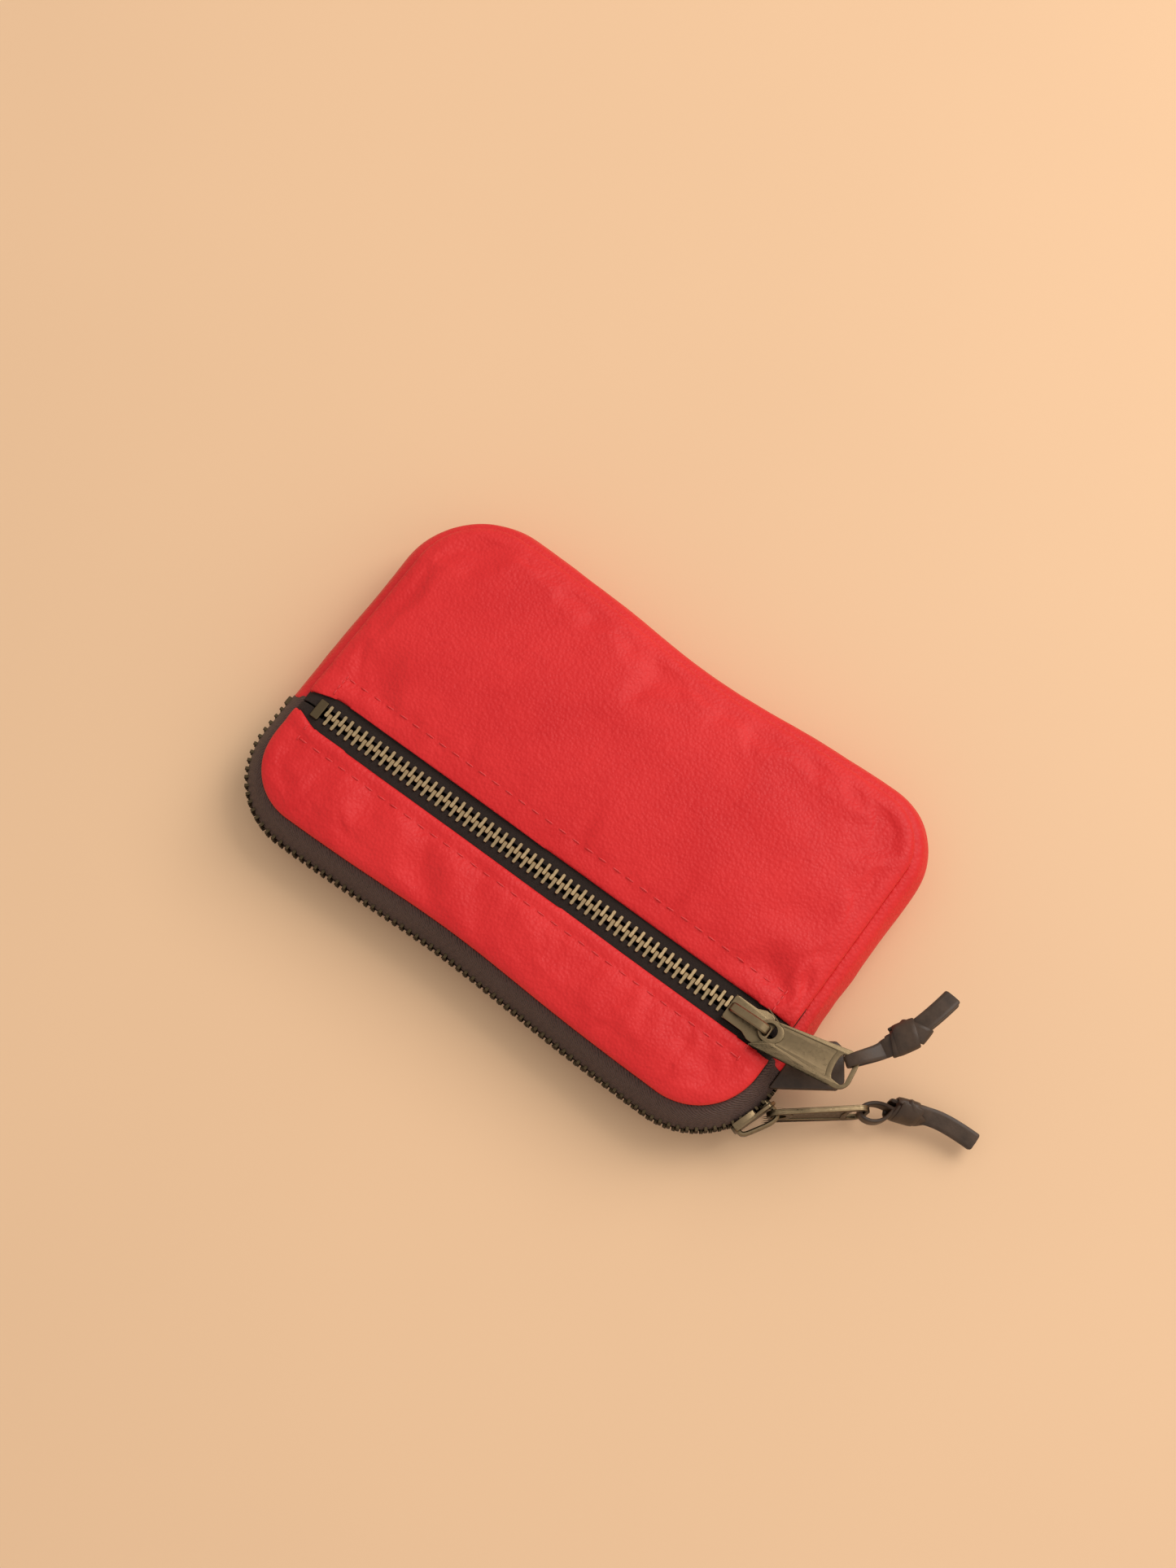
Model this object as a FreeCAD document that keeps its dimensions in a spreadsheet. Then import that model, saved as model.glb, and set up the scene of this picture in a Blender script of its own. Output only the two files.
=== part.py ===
import FreeCAD, Part
import math
import os

import Sketcher
from FreeCAD import Matrix, Placement, Rotation, Vector

# A leather pouch that lies flat: +X runs along the pocket zipper toward its
# closed end, +Y from the main zipper toward the folded long side, +Z up. The
# origin is the middle of the back panel, on the surface the pouch rests on.

# A size that is written with = follows others.
SIZES = [
    # the pouch's outline, measured along the seams between panels and gusset
    ("pouch_length", 162.0),
    ("pouch_width", 104.0),
    ("pouch_height", 24.0),
    ("top_left_radius", 22.0),
    ("top_right_radius", 16.0),
    ("slider_corner_radius", 20.0),
    ("left_corner_radius", 18.0),
    ("front_seam_height", 20.0),
    ("back_seam_height", 2.0),
    ("side_bulge", 4.5),
    ("front_shoulder", 5.0),
    ("back_shoulder", 6.0),
    # sheet materials
    ("leather_thickness", 1.2),
    ("lining_thickness", 0.4),
    ("pocket_tape_thickness", 0.6),
    ("main_tape_thickness", 0.8),
    # where the main zipper ends on the two short sides
    ("main_zip_right_end", "=25 - pouch_width / 2"),
    ("main_zip_left_end", "=30 - pouch_width / 2"),
    # the pocket zipper's line and the slot that shows it
    ("pocket_line", "=30 - pouch_width / 2"),
    ("slot_width", 10.4),
    ("tape_half_width", 13.5),
    # metal zipper chain
    ("chain_width", 5.8),
    ("tooth_pitch", 2.4),
    ("tooth_length", 1.1),
    ("tooth_height", 2.4),
    ("tooth_hook", 0.7),
    ("tooth_bevel", 0.4),
    ("stop_length", 2.6),
    ("stop_height", 2.4),
    ("stop_gap", 1.9),
    # sliders
    ("slider_length", 13.0),
    ("slider_tail_width", "=chain_width + 1.6"),
    ("slider_nose_width", "=chain_width + 3.6"),
    ("slider_plate", 1.0),
    ("slider_flange", 0.45),
    ("slider_clearance", 0.15),
    ("post_width", 1.6),
    ("post_length", 3.0),
    ("crown_width", 1.9),
    ("crown_bar", 1.1),
    ("crown_height", 3.8),
    ("pocket_slider_rest", "=pouch_length / 2 - 11"),
    ("main_slider_angle", -18.0),
    # pulls
    ("pull_length", 27.7),
    ("pull_thickness", 1.5),
    ("pull_far_width", 10.9),
    ("pull_rim", 1.2),
    ("eye_radius", 2.1),
    ("eye_rim", 1.0),
    ("lace_hole_length", 4.4),
    ("pull_recess_depth", 0.3),
    ("pull_corner_radius", 3.0),
    ("pocket_pull_yaw", 8.0),
    ("pocket_pull_rise", 3.0),
    ("main_pull_droop", -12.0),
    ("main_pull_swing", 32.0),
    # laces
    ("lace_diameter", 3.6),
    ("lace_ring_inner", 1.5),
    ("lace_ring_outer", 2.7),
    ("lace_ring_width", 2.4),
    ("knot_radius", 4.2),
    ("knot_length", 8.0),
    # pocket bag
    ("bag_length", "=pouch_length - 16"),
    ("bag_depth", "=pouch_width - 38"),
    ("bag_height", 6.0),
    ("bag_mouth", 10.8),
    # stitching
    ("stitch_pitch", 4.5),
    ("stitch_length", 3.2),
    ("stitch_thickness", 0.5),
    ("stitch_height", 0.2),
    ("upper_stitch_line", 6.6),
    ("lower_stitch_line", 4.5),
    # leather tab at the closed end of the main zipper
    ("tab_length", 14.0),
    ("tab_width", 13.0),
    ("tab_thickness", 2.4),
    ("tab_height", "=11.3 + chain_width / 2"),
    ("tab_line", "=28.5 - pouch_width / 2"),
    ("tab_corner", 2.0),
    ("tab_angle", 35.0),
]

# Both laces by hand, as steps from where they leave the pull: through the
# knot, to the tip. The upper one stays above the front panel, which it
# crosses with its slider.
LACE_STEPS_POCKET = [
    (3.9, 5.8, 1.1),
    (8.2, 17.8, 2.9),
    (9.6, 26.2, 0.9),
]
LACE_STEPS_MAIN = [
    (3.1, 3.0, 0.3),
    (10.3, 7.1, 0.3),
    (18.1, 9.4, -0.5),
    (26.5, 9.6, -1.5),
]

doc = FreeCAD.newDocument("zippered_pouch")
sheet = doc.addObject("Spreadsheet::Sheet", "Sizes")
for row, (alias, value) in enumerate(SIZES, start=1):
    sheet.set("A%d" % row, alias)
    sheet.set("B%d" % row, str(value))
    sheet.setAlias("B%d" % row, alias)
doc.recompute()

PARTS = []


def size(alias):
    """The value of one driving dimension."""
    return float(sheet.get(alias))


def keep(thing, label):
    """Registers a finished sub-part under its own label."""
    thing.Label = label
    PARTS.append(thing)
    return thing


def shape_part(label, shape):
    """A sub-part whose shape comes straight from Part's functions."""
    thing = doc.addObject("Part::Feature", label)
    thing.Shape = shape
    thing.Placement = Placement()
    return keep(thing, label)


# ---------------------------------------------------------------- outline

HALF_X = size("pouch_length") / 2
HALF_Y = size("pouch_width") / 2
FRONT_Z = size("front_seam_height")
BACK_Z = size("back_seam_height")
TOP_Z = size("pouch_height")
MIDDLE_Z = (FRONT_Z + BACK_Z) / 2
BULGE = size("side_bulge")
LEATHER = size("leather_thickness")
LINING = size("lining_thickness")
POCKET_TAPE = size("pocket_tape_thickness")
MAIN_TAPE = size("main_tape_thickness")
SEAM_HALF = (FRONT_Z - BACK_Z) / 2
SIDE_RADIUS = (SEAM_HALF**2 + BULGE**2) / (2 * BULGE)


def corners():
    """The four rounded corners, counterclockwise from the slider's corner:
    centre, radius and the angle at which each starts."""
    spec = [
        ("slider_corner_radius", 1, -1, -90),
        ("top_right_radius", 1, 1, 0),
        ("top_left_radius", -1, 1, 90),
        ("left_corner_radius", -1, -1, 180),
    ]
    found = []
    for alias, sign_x, sign_y, start in spec:
        radius = size(alias)
        centre = Vector(sign_x * (HALF_X - radius), sign_y * (HALF_Y - radius), 0)
        found.append((centre, radius, start))
    return found


def direction(degrees):
    angle = math.radians(degrees)
    return Vector(math.cos(angle), math.sin(angle), 0)


def profile_face(profile, foot, outward):
    """A closed profile of (offset, height) points, stood on the outline at
    foot. Each run is (start, end), or (start, middle, end) for an arc."""

    def place(point):
        return foot + outward * point[0] + Vector(0, 0, point[1])

    edges = []
    for run in profile:
        points = [place(point) for point in run]
        if len(points) == 3:
            edges.append(Part.Arc(*points).toShape())
        else:
            edges.append(Part.makeLine(*points))
    return Part.Face(Part.Wire(edges))


def ring(profile):
    """A profile carried once round the pouch's outline."""
    stretches = []
    ring_corners = corners()
    for index, (centre, radius, start) in enumerate(ring_corners):
        outward = direction(start)
        foot = centre + outward * radius
        face = profile_face(profile, foot, outward)
        stretches.append(face.revolve(centre, Vector(0, 0, 1), 90))
        leaving = direction(start + 90)
        foot = centre + leaving * radius
        after_centre, after_radius, _ = ring_corners[(index + 1) % len(ring_corners)]
        target = after_centre + leaving * after_radius
        face = profile_face(profile, foot, leaving)
        stretches.append(face.extrude(target - foot))
    return stretches[0].multiFuse(stretches[1:]).removeSplitter()


def plate(shrink, low, high):
    """A flat plate inside the outline, smaller all round by shrink."""
    edges = []
    plate_corners = corners()
    for index, (centre, radius, start) in enumerate(plate_corners):
        inner = radius - shrink
        points = [centre + direction(start + turn) * inner for turn in (0, 45, 90)]
        edges.append(Part.Arc(*points).toShape())
        after_centre, after_radius, after_start = plate_corners[(index + 1) % 4]
        target = after_centre + direction(after_start) * (after_radius - shrink)
        edges.append(Part.makeLine(points[2], target))
    face = Part.Face(Part.Wire(edges))
    face.translate(Vector(0, 0, low))
    return face.extrude(Vector(0, 0, high - low))


# ------------------------------------------------- skins around the outline


def seam_point(height, side, depth):
    """A point depth below the leather's outer surface, on the seam."""
    return (-0.6 * depth, height - side * 0.8 * depth)


def shoulder_points(height, edge_z, side, shoulder, depth):
    """Start, middle and end of the arc from a seam up to a flat panel."""
    rise = abs(height - edge_z)
    radius = (shoulder**2 + rise**2) / (2 * rise)
    half_turn = math.asin(shoulder / radius) / 2 if shoulder < radius else math.pi / 4
    middle = (
        -shoulder + (radius - depth) * math.sin(half_turn),
        height - side * (radius - (radius - depth) * math.cos(half_turn)),
    )
    return [
        seam_point(edge_z, side, depth),
        middle,
        (-shoulder, height - side * depth),
    ]


def panel_skin(height, edge_z, side, shoulder, outer, inner):
    """A layer of a whole panel, from outer to inner below its surface."""
    upper = shoulder_points(height, edge_z, side, shoulder, outer)
    lower = shoulder_points(height, edge_z, side, shoulder, inner)
    profile = [
        (upper[0], upper[1], upper[2]),
        (upper[2], lower[2]),
        (lower[2], lower[1], lower[0]),
        (lower[0], upper[0]),
    ]
    levels = sorted([upper[2][1], lower[2][1]])
    middle = plate(shoulder, levels[0], levels[1])
    return ring(profile).fuse(middle).removeSplitter()


def front_skin(outer, inner):
    return panel_skin(TOP_Z, FRONT_Z, 1, size("front_shoulder"), outer, inner)


def back_skin(outer, inner):
    return panel_skin(0.0, BACK_Z, -1, size("back_shoulder"), outer, inner)


def side_skin(outer, inner):
    """A layer of the side, from the back seam round to the front seam."""
    runs = []
    for depth in (outer, inner):
        runs.append(
            [
                seam_point(BACK_Z, -1, depth),
                (BULGE - depth, MIDDLE_Z),
                seam_point(FRONT_Z, 1, depth),
            ]
        )
    first, second = runs
    profile = [
        (first[0], first[1], first[2]),
        (first[2], second[2]),
        (second[2], second[1], second[0]),
        (second[0], first[0]),
    ]
    return ring(profile)


def region(low_x, high_x, low_y, high_y, low_z, high_z):
    box = Part.makeBox(high_x - low_x, high_y - low_y, high_z - low_z)
    box.translate(Vector(low_x, low_y, low_z))
    return box


FAR = 200.0


def gusset_region():
    """Everything on the gusset's side of the main zipper's two ends."""
    right = region(0, FAR, size("main_zip_right_end"), FAR, -FAR, FAR)
    left = region(-FAR, 0, size("main_zip_left_end"), FAR, -FAR, FAR)
    return right.fuse(left)


def band(low_y, high_y):
    """A slice of the front across the pouch, between two Y positions."""
    return region(-FAR, FAR, low_y, high_y, -FAR, FAR)


SLOT_Y = size("pocket_line")
SLOT_HALF = size("slot_width") / 2
CHAIN_HALF = size("chain_width") / 2
TAPE_HALF = size("tape_half_width")

skin = front_skin(0, LEATHER)
shape_part("front_panel_upper", skin.common(band(SLOT_Y + SLOT_HALF, FAR)))
shape_part("front_panel_lower", skin.common(band(-FAR, SLOT_Y - SLOT_HALF)))
shape_part("back_panel", back_skin(0, LEATHER))
shape_part("gusset_strip", side_skin(0, LEATHER).common(gusset_region()))

lining = front_skin(LEATHER, LEATHER + LINING)
shape_part("lining_front_upper", lining.common(band(SLOT_Y + TAPE_HALF, FAR)))
shape_part("lining_front_lower", lining.common(band(-FAR, SLOT_Y - TAPE_HALF)))
shape_part("lining_back", back_skin(LEATHER, LEATHER + LINING))
side_lining = side_skin(LEATHER, LEATHER + LINING)
shape_part("lining_gusset", side_lining.common(gusset_region()))

under = front_skin(LEATHER, LEATHER + POCKET_TAPE)
shape_part(
    "pocket_tape_upper",
    under.common(band(SLOT_Y + CHAIN_HALF, SLOT_Y + TAPE_HALF)),
)
shape_part(
    "pocket_tape_lower",
    under.common(band(SLOT_Y - TAPE_HALF, SLOT_Y - CHAIN_HALF)),
)

main_tape = side_skin(0, MAIN_TAPE).cut(gusset_region())
above = region(-FAR, FAR, -FAR, FAR, MIDDLE_Z + CHAIN_HALF, FAR)
below = region(-FAR, FAR, -FAR, FAR, -FAR, MIDDLE_Z - CHAIN_HALF)
shape_part("main_tape_front", main_tape.common(above))
shape_part("main_tape_back", main_tape.common(below))

# ------------------------------------------------------------- zipper chain


def tooth(side):
    """One tooth, its length centred on x = 0, its tape on the +y or -y side.
    It hooks past the chain's middle by tooth_hook."""
    half = size("tooth_height") / 2
    hook = size("tooth_hook")
    bevel = size("tooth_bevel")
    outline = [
        (CHAIN_HALF, -half),
        (CHAIN_HALF, half),
        (-hook + bevel, half),
        (-hook, half - bevel),
        (-hook, -half + bevel),
        (-hook + bevel, -half),
    ]
    start = -size("tooth_length") / 2
    points = [Vector(start, side * across, high) for across, high in outline]
    face = Part.Face(Part.makePolygon(points + points[:1]))
    return face.extrude(Vector(size("tooth_length"), 0, 0))


def teeth_row(side, stations):
    """A row of teeth, one at each (position, x direction, y direction)."""
    one = tooth(side)
    solids = []
    for position, along, across in stations:
        solids.append(placed(one, position, along, across))
    return Part.makeCompound(solids)


def frame_matrix(position, along, across):
    upward = along.cross(across)
    return Matrix(
        along.x, across.x, upward.x, position.x,
        along.y, across.y, upward.y, position.y,
        along.z, across.z, upward.z, position.z,
        0, 0, 0, 1,
    )


def placed(shape, position, along, across):
    moved = shape.copy()
    moved.Placement = Placement(frame_matrix(position, along, across))
    return moved


POCKET_CHAIN_Z = TOP_Z - LEATHER - POCKET_TAPE / 2
CHAIN_END_X = HALF_X - size("front_shoulder") - 0.5
PITCH = size("tooth_pitch")
POST_SETBACK = 0.6


def pocket_stations(offset):
    """Tooth positions along the pocket's straight chain."""
    found = []
    position = -CHAIN_END_X + size("stop_length") + PITCH / 2 + offset
    while position < CHAIN_END_X - size("stop_length") - PITCH / 2:
        point = Vector(position, SLOT_Y, POCKET_CHAIN_Z)
        found.append((point, Vector(1, 0, 0), Vector(0, 1, 0)))
        position += PITCH
    return found


def chain_path(distance):
    """A point of the main chain and its direction, by distance from the
    zipper's closed end, down the slider's side and on round the pouch."""
    offset = BULGE - MAIN_TAPE / 2
    near, near_radius, _ = corners()[0]
    far, far_radius, _ = corners()[3]
    near_arc = (near_radius + offset) * math.pi / 2
    far_arc = (far_radius + offset) * math.pi / 2
    first = size("main_zip_right_end") - near.y
    bottom = near.x - far.x
    if distance < first:
        point = Vector(HALF_X + offset, size("main_zip_right_end") - distance, 0)
        return point, Vector(0, 1, 0)
    distance -= first
    if distance < near_arc:
        angle = -math.degrees(distance / (near_radius + offset))
        point = near + direction(angle) * (near_radius + offset)
        return point, direction(angle + 90)
    distance -= near_arc
    if distance < bottom:
        point = Vector(near.x - distance, -HALF_Y - offset, 0)
        return point, Vector(1, 0, 0)
    distance -= bottom
    if distance < far_arc:
        angle = -90 - math.degrees(distance / (far_radius + offset))
        point = far + direction(angle) * (far_radius + offset)
        return point, direction(angle + 90)
    distance -= far_arc
    point = Vector(-HALF_X - offset, far.y + distance, 0)
    return point, Vector(0, -1, 0)


def main_chain_length():
    offset = BULGE - MAIN_TAPE / 2
    near, near_radius, _ = corners()[0]
    far, far_radius, _ = corners()[3]
    arcs = (near_radius + far_radius + 2 * offset) * math.pi / 2
    first = size("main_zip_right_end") - near.y
    last = size("main_zip_left_end") - far.y
    return first + arcs + near.x - far.x + last


def main_station(distance):
    point, along = chain_path(distance)
    return point + Vector(0, 0, MIDDLE_Z), along, Vector(0, 0, 1)


def beside_post(distance):
    """Whether a closed tooth here would stand where the slider's post is."""
    centre, radius, _ = corners()[0]
    arc = math.radians(-size("main_slider_angle")) * (radius + BULGE - MAIN_TAPE / 2)
    slider = size("main_zip_right_end") - centre.y + arc
    nose = slider - size("slider_length") / 2 + POST_SETBACK
    room = size("tooth_length") / 2 + size("slider_clearance")
    return nose - room < distance < nose + size("post_length") + room


def main_stations(offset):
    """Tooth positions round the main zipper's chain."""
    found = []
    distance = size("stop_length") + PITCH / 2 + offset
    while distance < main_chain_length() - size("stop_length") - PITCH / 2:
        if not beside_post(distance):
            found.append(main_station(distance))
        distance += PITCH
    return found


shape_part("pocket_teeth_upper", teeth_row(1, pocket_stations(0)))
shape_part("pocket_teeth_lower", teeth_row(-1, pocket_stations(PITCH / 2)))
shape_part("main_teeth_front", teeth_row(1, main_stations(0)))
shape_part("main_teeth_back", teeth_row(-1, main_stations(PITCH / 2)))


def stop_block(low, high):
    """A crimped stop across part of the chain, from low to high in width."""
    length = size("stop_length")
    height = size("stop_height")
    block = Part.makeBox(length, high - low, height)
    block.translate(Vector(-length / 2, low, -height / 2))
    return block.makeFillet(0.3, block.Edges)


def stop_pair():
    """The two stops at a zipper's closed end, one on each tape."""
    inner = size("stop_gap") / 2
    return [stop_block(inner, CHAIN_HALF), stop_block(-CHAIN_HALF, -inner)]


def pocket_end(position):
    return Vector(position, SLOT_Y, POCKET_CHAIN_Z), Vector(1, 0, 0), Vector(0, 1, 0)


def end_stops(label, station, blocks):
    shape_part(label, Part.makeCompound([placed(b, *station) for b in blocks]))


HALF_STOP = size("stop_length") / 2
whole_stop = [stop_block(-CHAIN_HALF, CHAIN_HALF)]
end_stops("pocket_top_stops", pocket_end(CHAIN_END_X - HALF_STOP), stop_pair())
end_stops("pocket_bottom_stop", pocket_end(HALF_STOP - CHAIN_END_X), whole_stop)
end_stops("main_top_stops", main_station(HALF_STOP), stop_pair())
last_stop = main_station(main_chain_length() - HALF_STOP)
end_stops("main_bottom_stop", last_stop, whole_stop)

# --------------------------------------------------- sliders, crowns, pulls


def origin_plane(body, role):
    for feature in body.Origin.OriginFeatures:
        if feature.Role == role:
            return feature
    raise RuntimeError("no %s in %s" % (role, body.Label))


def new_sketch(body, name, lift, role="XY_Plane"):
    """An empty sketch parallel to one of the body's origin planes."""
    sketch = body.newObject("Sketcher::SketchObject", name)
    sketch.AttachmentSupport = [(origin_plane(body, role), "")]
    sketch.MapMode = "FlatFace"
    sketch.setExpression("AttachmentOffset.Base.z", lift)
    return sketch


def draw_polygon(sketch, points):
    """A closed outline whose corners are held at pairs of expressions."""
    values = [
        Vector(float(sheet.evalExpression(a)), float(sheet.evalExpression(b)), 0)
        for a, b in points
    ]
    count = len(points)
    for index in range(count):
        line = Part.LineSegment(values[index], values[(index + 1) % count])
        sketch.addGeometry(line, False)
    for index in range(count):
        after = (index + 1) % count
        sketch.addConstraint(Sketcher.Constraint("Coincident", index, 2, after, 1))
    for index, (across, upward) in enumerate(points):
        for kind, text, value in (
            ("DistanceX", across, values[index].x),
            ("DistanceY", upward, values[index].y),
        ):
            link = Sketcher.Constraint(kind, -1, 1, index, 1, value)
            number = sketch.addConstraint(link)
            sketch.setExpression("Constraints[%d]" % number, text)


def draw_circle(sketch, centre_x, radius):
    """A circle on the sketch's X axis, held by two expressions."""
    centre = Vector(float(sheet.evalExpression(centre_x)), 0, 0)
    value = float(sheet.evalExpression(radius))
    sketch.addGeometry(Part.Circle(centre, Vector(0, 0, 1), value), False)
    sketch.addConstraint(Sketcher.Constraint("PointOnObject", 0, 3, -1))
    number = sketch.addConstraint(
        Sketcher.Constraint("DistanceX", -1, 1, 0, 3, centre.x)
    )
    sketch.setExpression("Constraints[%d]" % number, centre_x)
    number = sketch.addConstraint(Sketcher.Constraint("Radius", 0, value))
    sketch.setExpression("Constraints[%d]" % number, radius)


def pad(body, sketch, length, reverse=False, midplane=False):
    feature = body.newObject("PartDesign::Pad", sketch.Name + "_pad")
    feature.Profile = sketch
    feature.setExpression("Length", length)
    feature.Reversed = reverse
    feature.Midplane = midplane
    return feature


def pocket(body, sketch, depth, reverse=False):
    feature = body.newObject("PartDesign::Pocket", sketch.Name + "_pocket")
    feature.Profile = sketch
    feature.setExpression("Length", depth)
    feature.Reversed = reverse
    return feature


def mirrored_outline(points):
    """Adds the mirror image of a half outline across the X axis."""
    return points + [(a, "-(%s)" % b) for a, b in reversed(points)]


SLIDER_OUTLINE = mirrored_outline(
    [
        ("-Sizes.slider_length / 2", "Sizes.slider_tail_width / 2"),
        ("Sizes.slider_length * 0.02", "Sizes.slider_tail_width / 2"),
        ("Sizes.slider_length * 0.2", "Sizes.slider_nose_width / 2"),
        ("Sizes.slider_length * 0.36", "Sizes.slider_nose_width / 2"),
        ("Sizes.slider_length / 2", "Sizes.slider_nose_width * 0.3"),
    ]
)


def slider_body(label, half_channel, outer_gap, inner_gap, placement):
    """Two plates round the chain, joined by the post between the rows. The
    flanges along the tail hold the chain and let the tapes out sideways.
    half_channel is an expression for the channel's half height, and the gaps
    are what each tape needs above and below the channel's middle."""
    body = doc.addObject("PartDesign::Body", label)
    upper = new_sketch(body, label + "_top", half_channel)
    draw_polygon(upper, SLIDER_OUTLINE)
    pad(body, upper, "Sizes.slider_plate")
    post = new_sketch(body, label + "_post", half_channel)
    nose = "Sizes.slider_length / 2 - %s" % POST_SETBACK
    half_post = "Sizes.post_width / 2"
    draw_polygon(
        post,
        mirrored_outline(
            [
                ("%s - Sizes.post_length" % nose, "%s * 0.3" % half_post),
                ("%s - Sizes.post_length * 0.4" % nose, half_post),
                (nose, "%s * 0.6" % half_post),
            ]
        ),
    )
    pad(body, post, "2 * (%s)" % half_channel, reverse=True)
    lower = new_sketch(body, label + "_bottom", "-(%s)" % half_channel)
    draw_polygon(lower, SLIDER_OUTLINE)
    pad(body, lower, "Sizes.slider_plate", reverse=True)
    outer = "Sizes.slider_tail_width / 2"
    inner = "%s - Sizes.slider_flange" % outer
    for sign in ("", "-"):
        rectangle = [
            ("-Sizes.slider_length / 2", "%s(%s)" % (sign, inner)),
            ("Sizes.slider_length * 0.02", "%s(%s)" % (sign, inner)),
            ("Sizes.slider_length * 0.02", "%s(%s)" % (sign, outer)),
            ("-Sizes.slider_length / 2", "%s(%s)" % (sign, outer)),
        ]
        name = "left" if sign else "right"
        for level, reverse, start, gap in (
            ("top", True, half_channel, outer_gap),
            ("bottom", False, "-(%s)" % half_channel, inner_gap),
        ):
            flange = new_sketch(body, "%s_%s_%s" % (label, name, level), start)
            draw_polygon(flange, rectangle)
            pad(body, flange, "(%s) - (%s)" % (half_channel, gap), reverse)
    body.Placement = placement
    return keep(body, label)


def slider_crown(label, lift, placement):
    """The arch over the slider's top plate that holds the pull's eye."""
    body = doc.addObject("PartDesign::Body", label)
    sketch = new_sketch(body, label + "_side", "0", "XZ_Plane")
    high = "Sizes.crown_height"
    bar = "Sizes.crown_bar"
    tail = "-Sizes.slider_length * 0.45"
    front = "Sizes.slider_length * 0.46"
    points = [
        (tail, "(%s)" % lift),
        (tail, "(%s) + %s * 0.35" % (lift, high)),
        ("%s + %s" % (tail, bar), "(%s) + %s * 0.62" % (lift, high)),
        ("%s - %s * 1.6" % (front, bar), "(%s) + %s" % (lift, high)),
        ("%s - %s * 0.4" % (front, bar), "(%s) + %s * 0.86" % (lift, high)),
        (front, "(%s) + %s * 0.5" % (lift, high)),
        (front, "(%s)" % lift),
        ("%s - %s" % (front, bar), "(%s)" % lift),
        ("%s - %s" % (front, bar), "(%s) + %s * 0.5" % (lift, high)),
        ("%s - %s * 1.7" % (front, bar), "(%s) + %s - %s" % (lift, high, bar)),
        ("%s + %s * 2.5" % (tail, bar), "(%s) + %s * 0.36" % (lift, high)),
        ("%s + %s * 2" % (tail, bar), "(%s)" % lift),
    ]
    draw_polygon(sketch, points)
    pad(body, sketch, "Sizes.crown_width", midplane=True)
    body.Placement = placement
    return keep(body, label)


def pull_tab(label, placement):
    """The tapered pull. Its own origin is the middle of the eye's near rim,
    where it turns in the crown; the eye and the lace's hole lie on +X."""
    body = doc.addObject("PartDesign::Body", label)
    half = "Sizes.pull_thickness / 2"
    eye_x = "Sizes.eye_rim / 2 + Sizes.eye_radius"
    far_x = "Sizes.pull_length - Sizes.eye_rim / 2"
    far_y = "Sizes.pull_far_width / 2"
    corner = "Sizes.pull_corner_radius"
    cut = "%s * 0.3" % corner
    eye_out = "Sizes.eye_radius + Sizes.eye_rim"
    outline = new_sketch(body, label + "_plate", "-%s" % half)
    draw_polygon(
        outline,
        mirrored_outline(
            [
                (eye_x, "(%s) * 0.97" % eye_out),
                ("%s - %s" % (far_x, corner), far_y),
                ("%s - %s" % (far_x, cut), "%s - %s" % (far_y, cut)),
                (far_x, "%s - %s" % (far_y, corner)),
            ]
        ),
    )
    pad(body, outline, "Sizes.pull_thickness")
    eye = new_sketch(body, label + "_eye", "-%s" % half)
    draw_circle(eye, eye_x, eye_out)
    pad(body, eye, "Sizes.pull_thickness")
    hole = new_sketch(body, label + "_eye_hole", half)
    draw_circle(hole, eye_x, "Sizes.eye_radius")
    pocket(body, hole, "Sizes.pull_thickness")
    rim = "Sizes.pull_rim"
    lace = new_sketch(body, label + "_lace_hole", half)
    hole_end = "%s - %s" % (far_x, rim)
    hole_side = "%s - %s" % (far_y, rim)
    bend = "(%s - %s)" % (corner, rim)
    draw_polygon(
        lace,
        mirrored_outline(
            [
                ("%s - Sizes.lace_hole_length" % hole_end, "%s - 0.9" % hole_side),
                ("%s - %s" % (hole_end, bend), "%s - 0.1" % hole_side),
                ("%s - %s * 0.3" % (hole_end, bend), "%s - %s * 0.3" % (hole_side, bend)),
                (hole_end, "%s - %s" % (hole_side, bend)),
            ]
        ),
    )
    pocket(body, lace, "Sizes.pull_thickness")
    recess = new_sketch(body, label + "_recess", half)
    start = "%s * 2 + Sizes.eye_rim" % eye_x
    draw_polygon(
        recess,
        mirrored_outline(
            [
                ("%s + 1.2" % start, "%s * 0.5" % eye_out),
                ("%s + 2.6" % start, "%s * 0.85" % eye_out),
                ("%s - Sizes.lace_hole_length - 1" % hole_end, "%s - 0.3" % hole_side),
            ]
        ),
    )
    pocket(body, recess, "Sizes.pull_recess_depth")
    body.Placement = placement
    return keep(body, label)


def turned(axis, degrees):
    return Placement(Vector(), Rotation(axis, degrees))


X_AXIS, Y_AXIS, Z_AXIS = Vector(1, 0, 0), Vector(0, 1, 0), Vector(0, 0, 1)
CURVE_ROOM = size("slider_length") ** 2 / 16 / (size("slider_corner_radius") + BULGE)

CHANNEL = "Sizes.tooth_height / 2 + Sizes.slider_clearance"
POCKET_GAP = "Sizes.pocket_tape_thickness / 2 + Sizes.slider_clearance"
MAIN_ROOM = (
    "Sizes.slider_length ^ 2 / 16 / (Sizes.slider_corner_radius + Sizes.side_bulge)"
)
MAIN_CHANNEL = "%s + %s" % (CHANNEL, MAIN_ROOM)
MAIN_GAP = "Sizes.main_tape_thickness / 2 + Sizes.slider_clearance + %s" % MAIN_ROOM
SIDE_FALL = (
    "Sizes.slider_tail_width ^ 2 * Sizes.side_bulge"
    " / ((Sizes.front_seam_height - Sizes.back_seam_height) ^ 2"
    " + 4 * Sizes.side_bulge ^ 2)"
)


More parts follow.
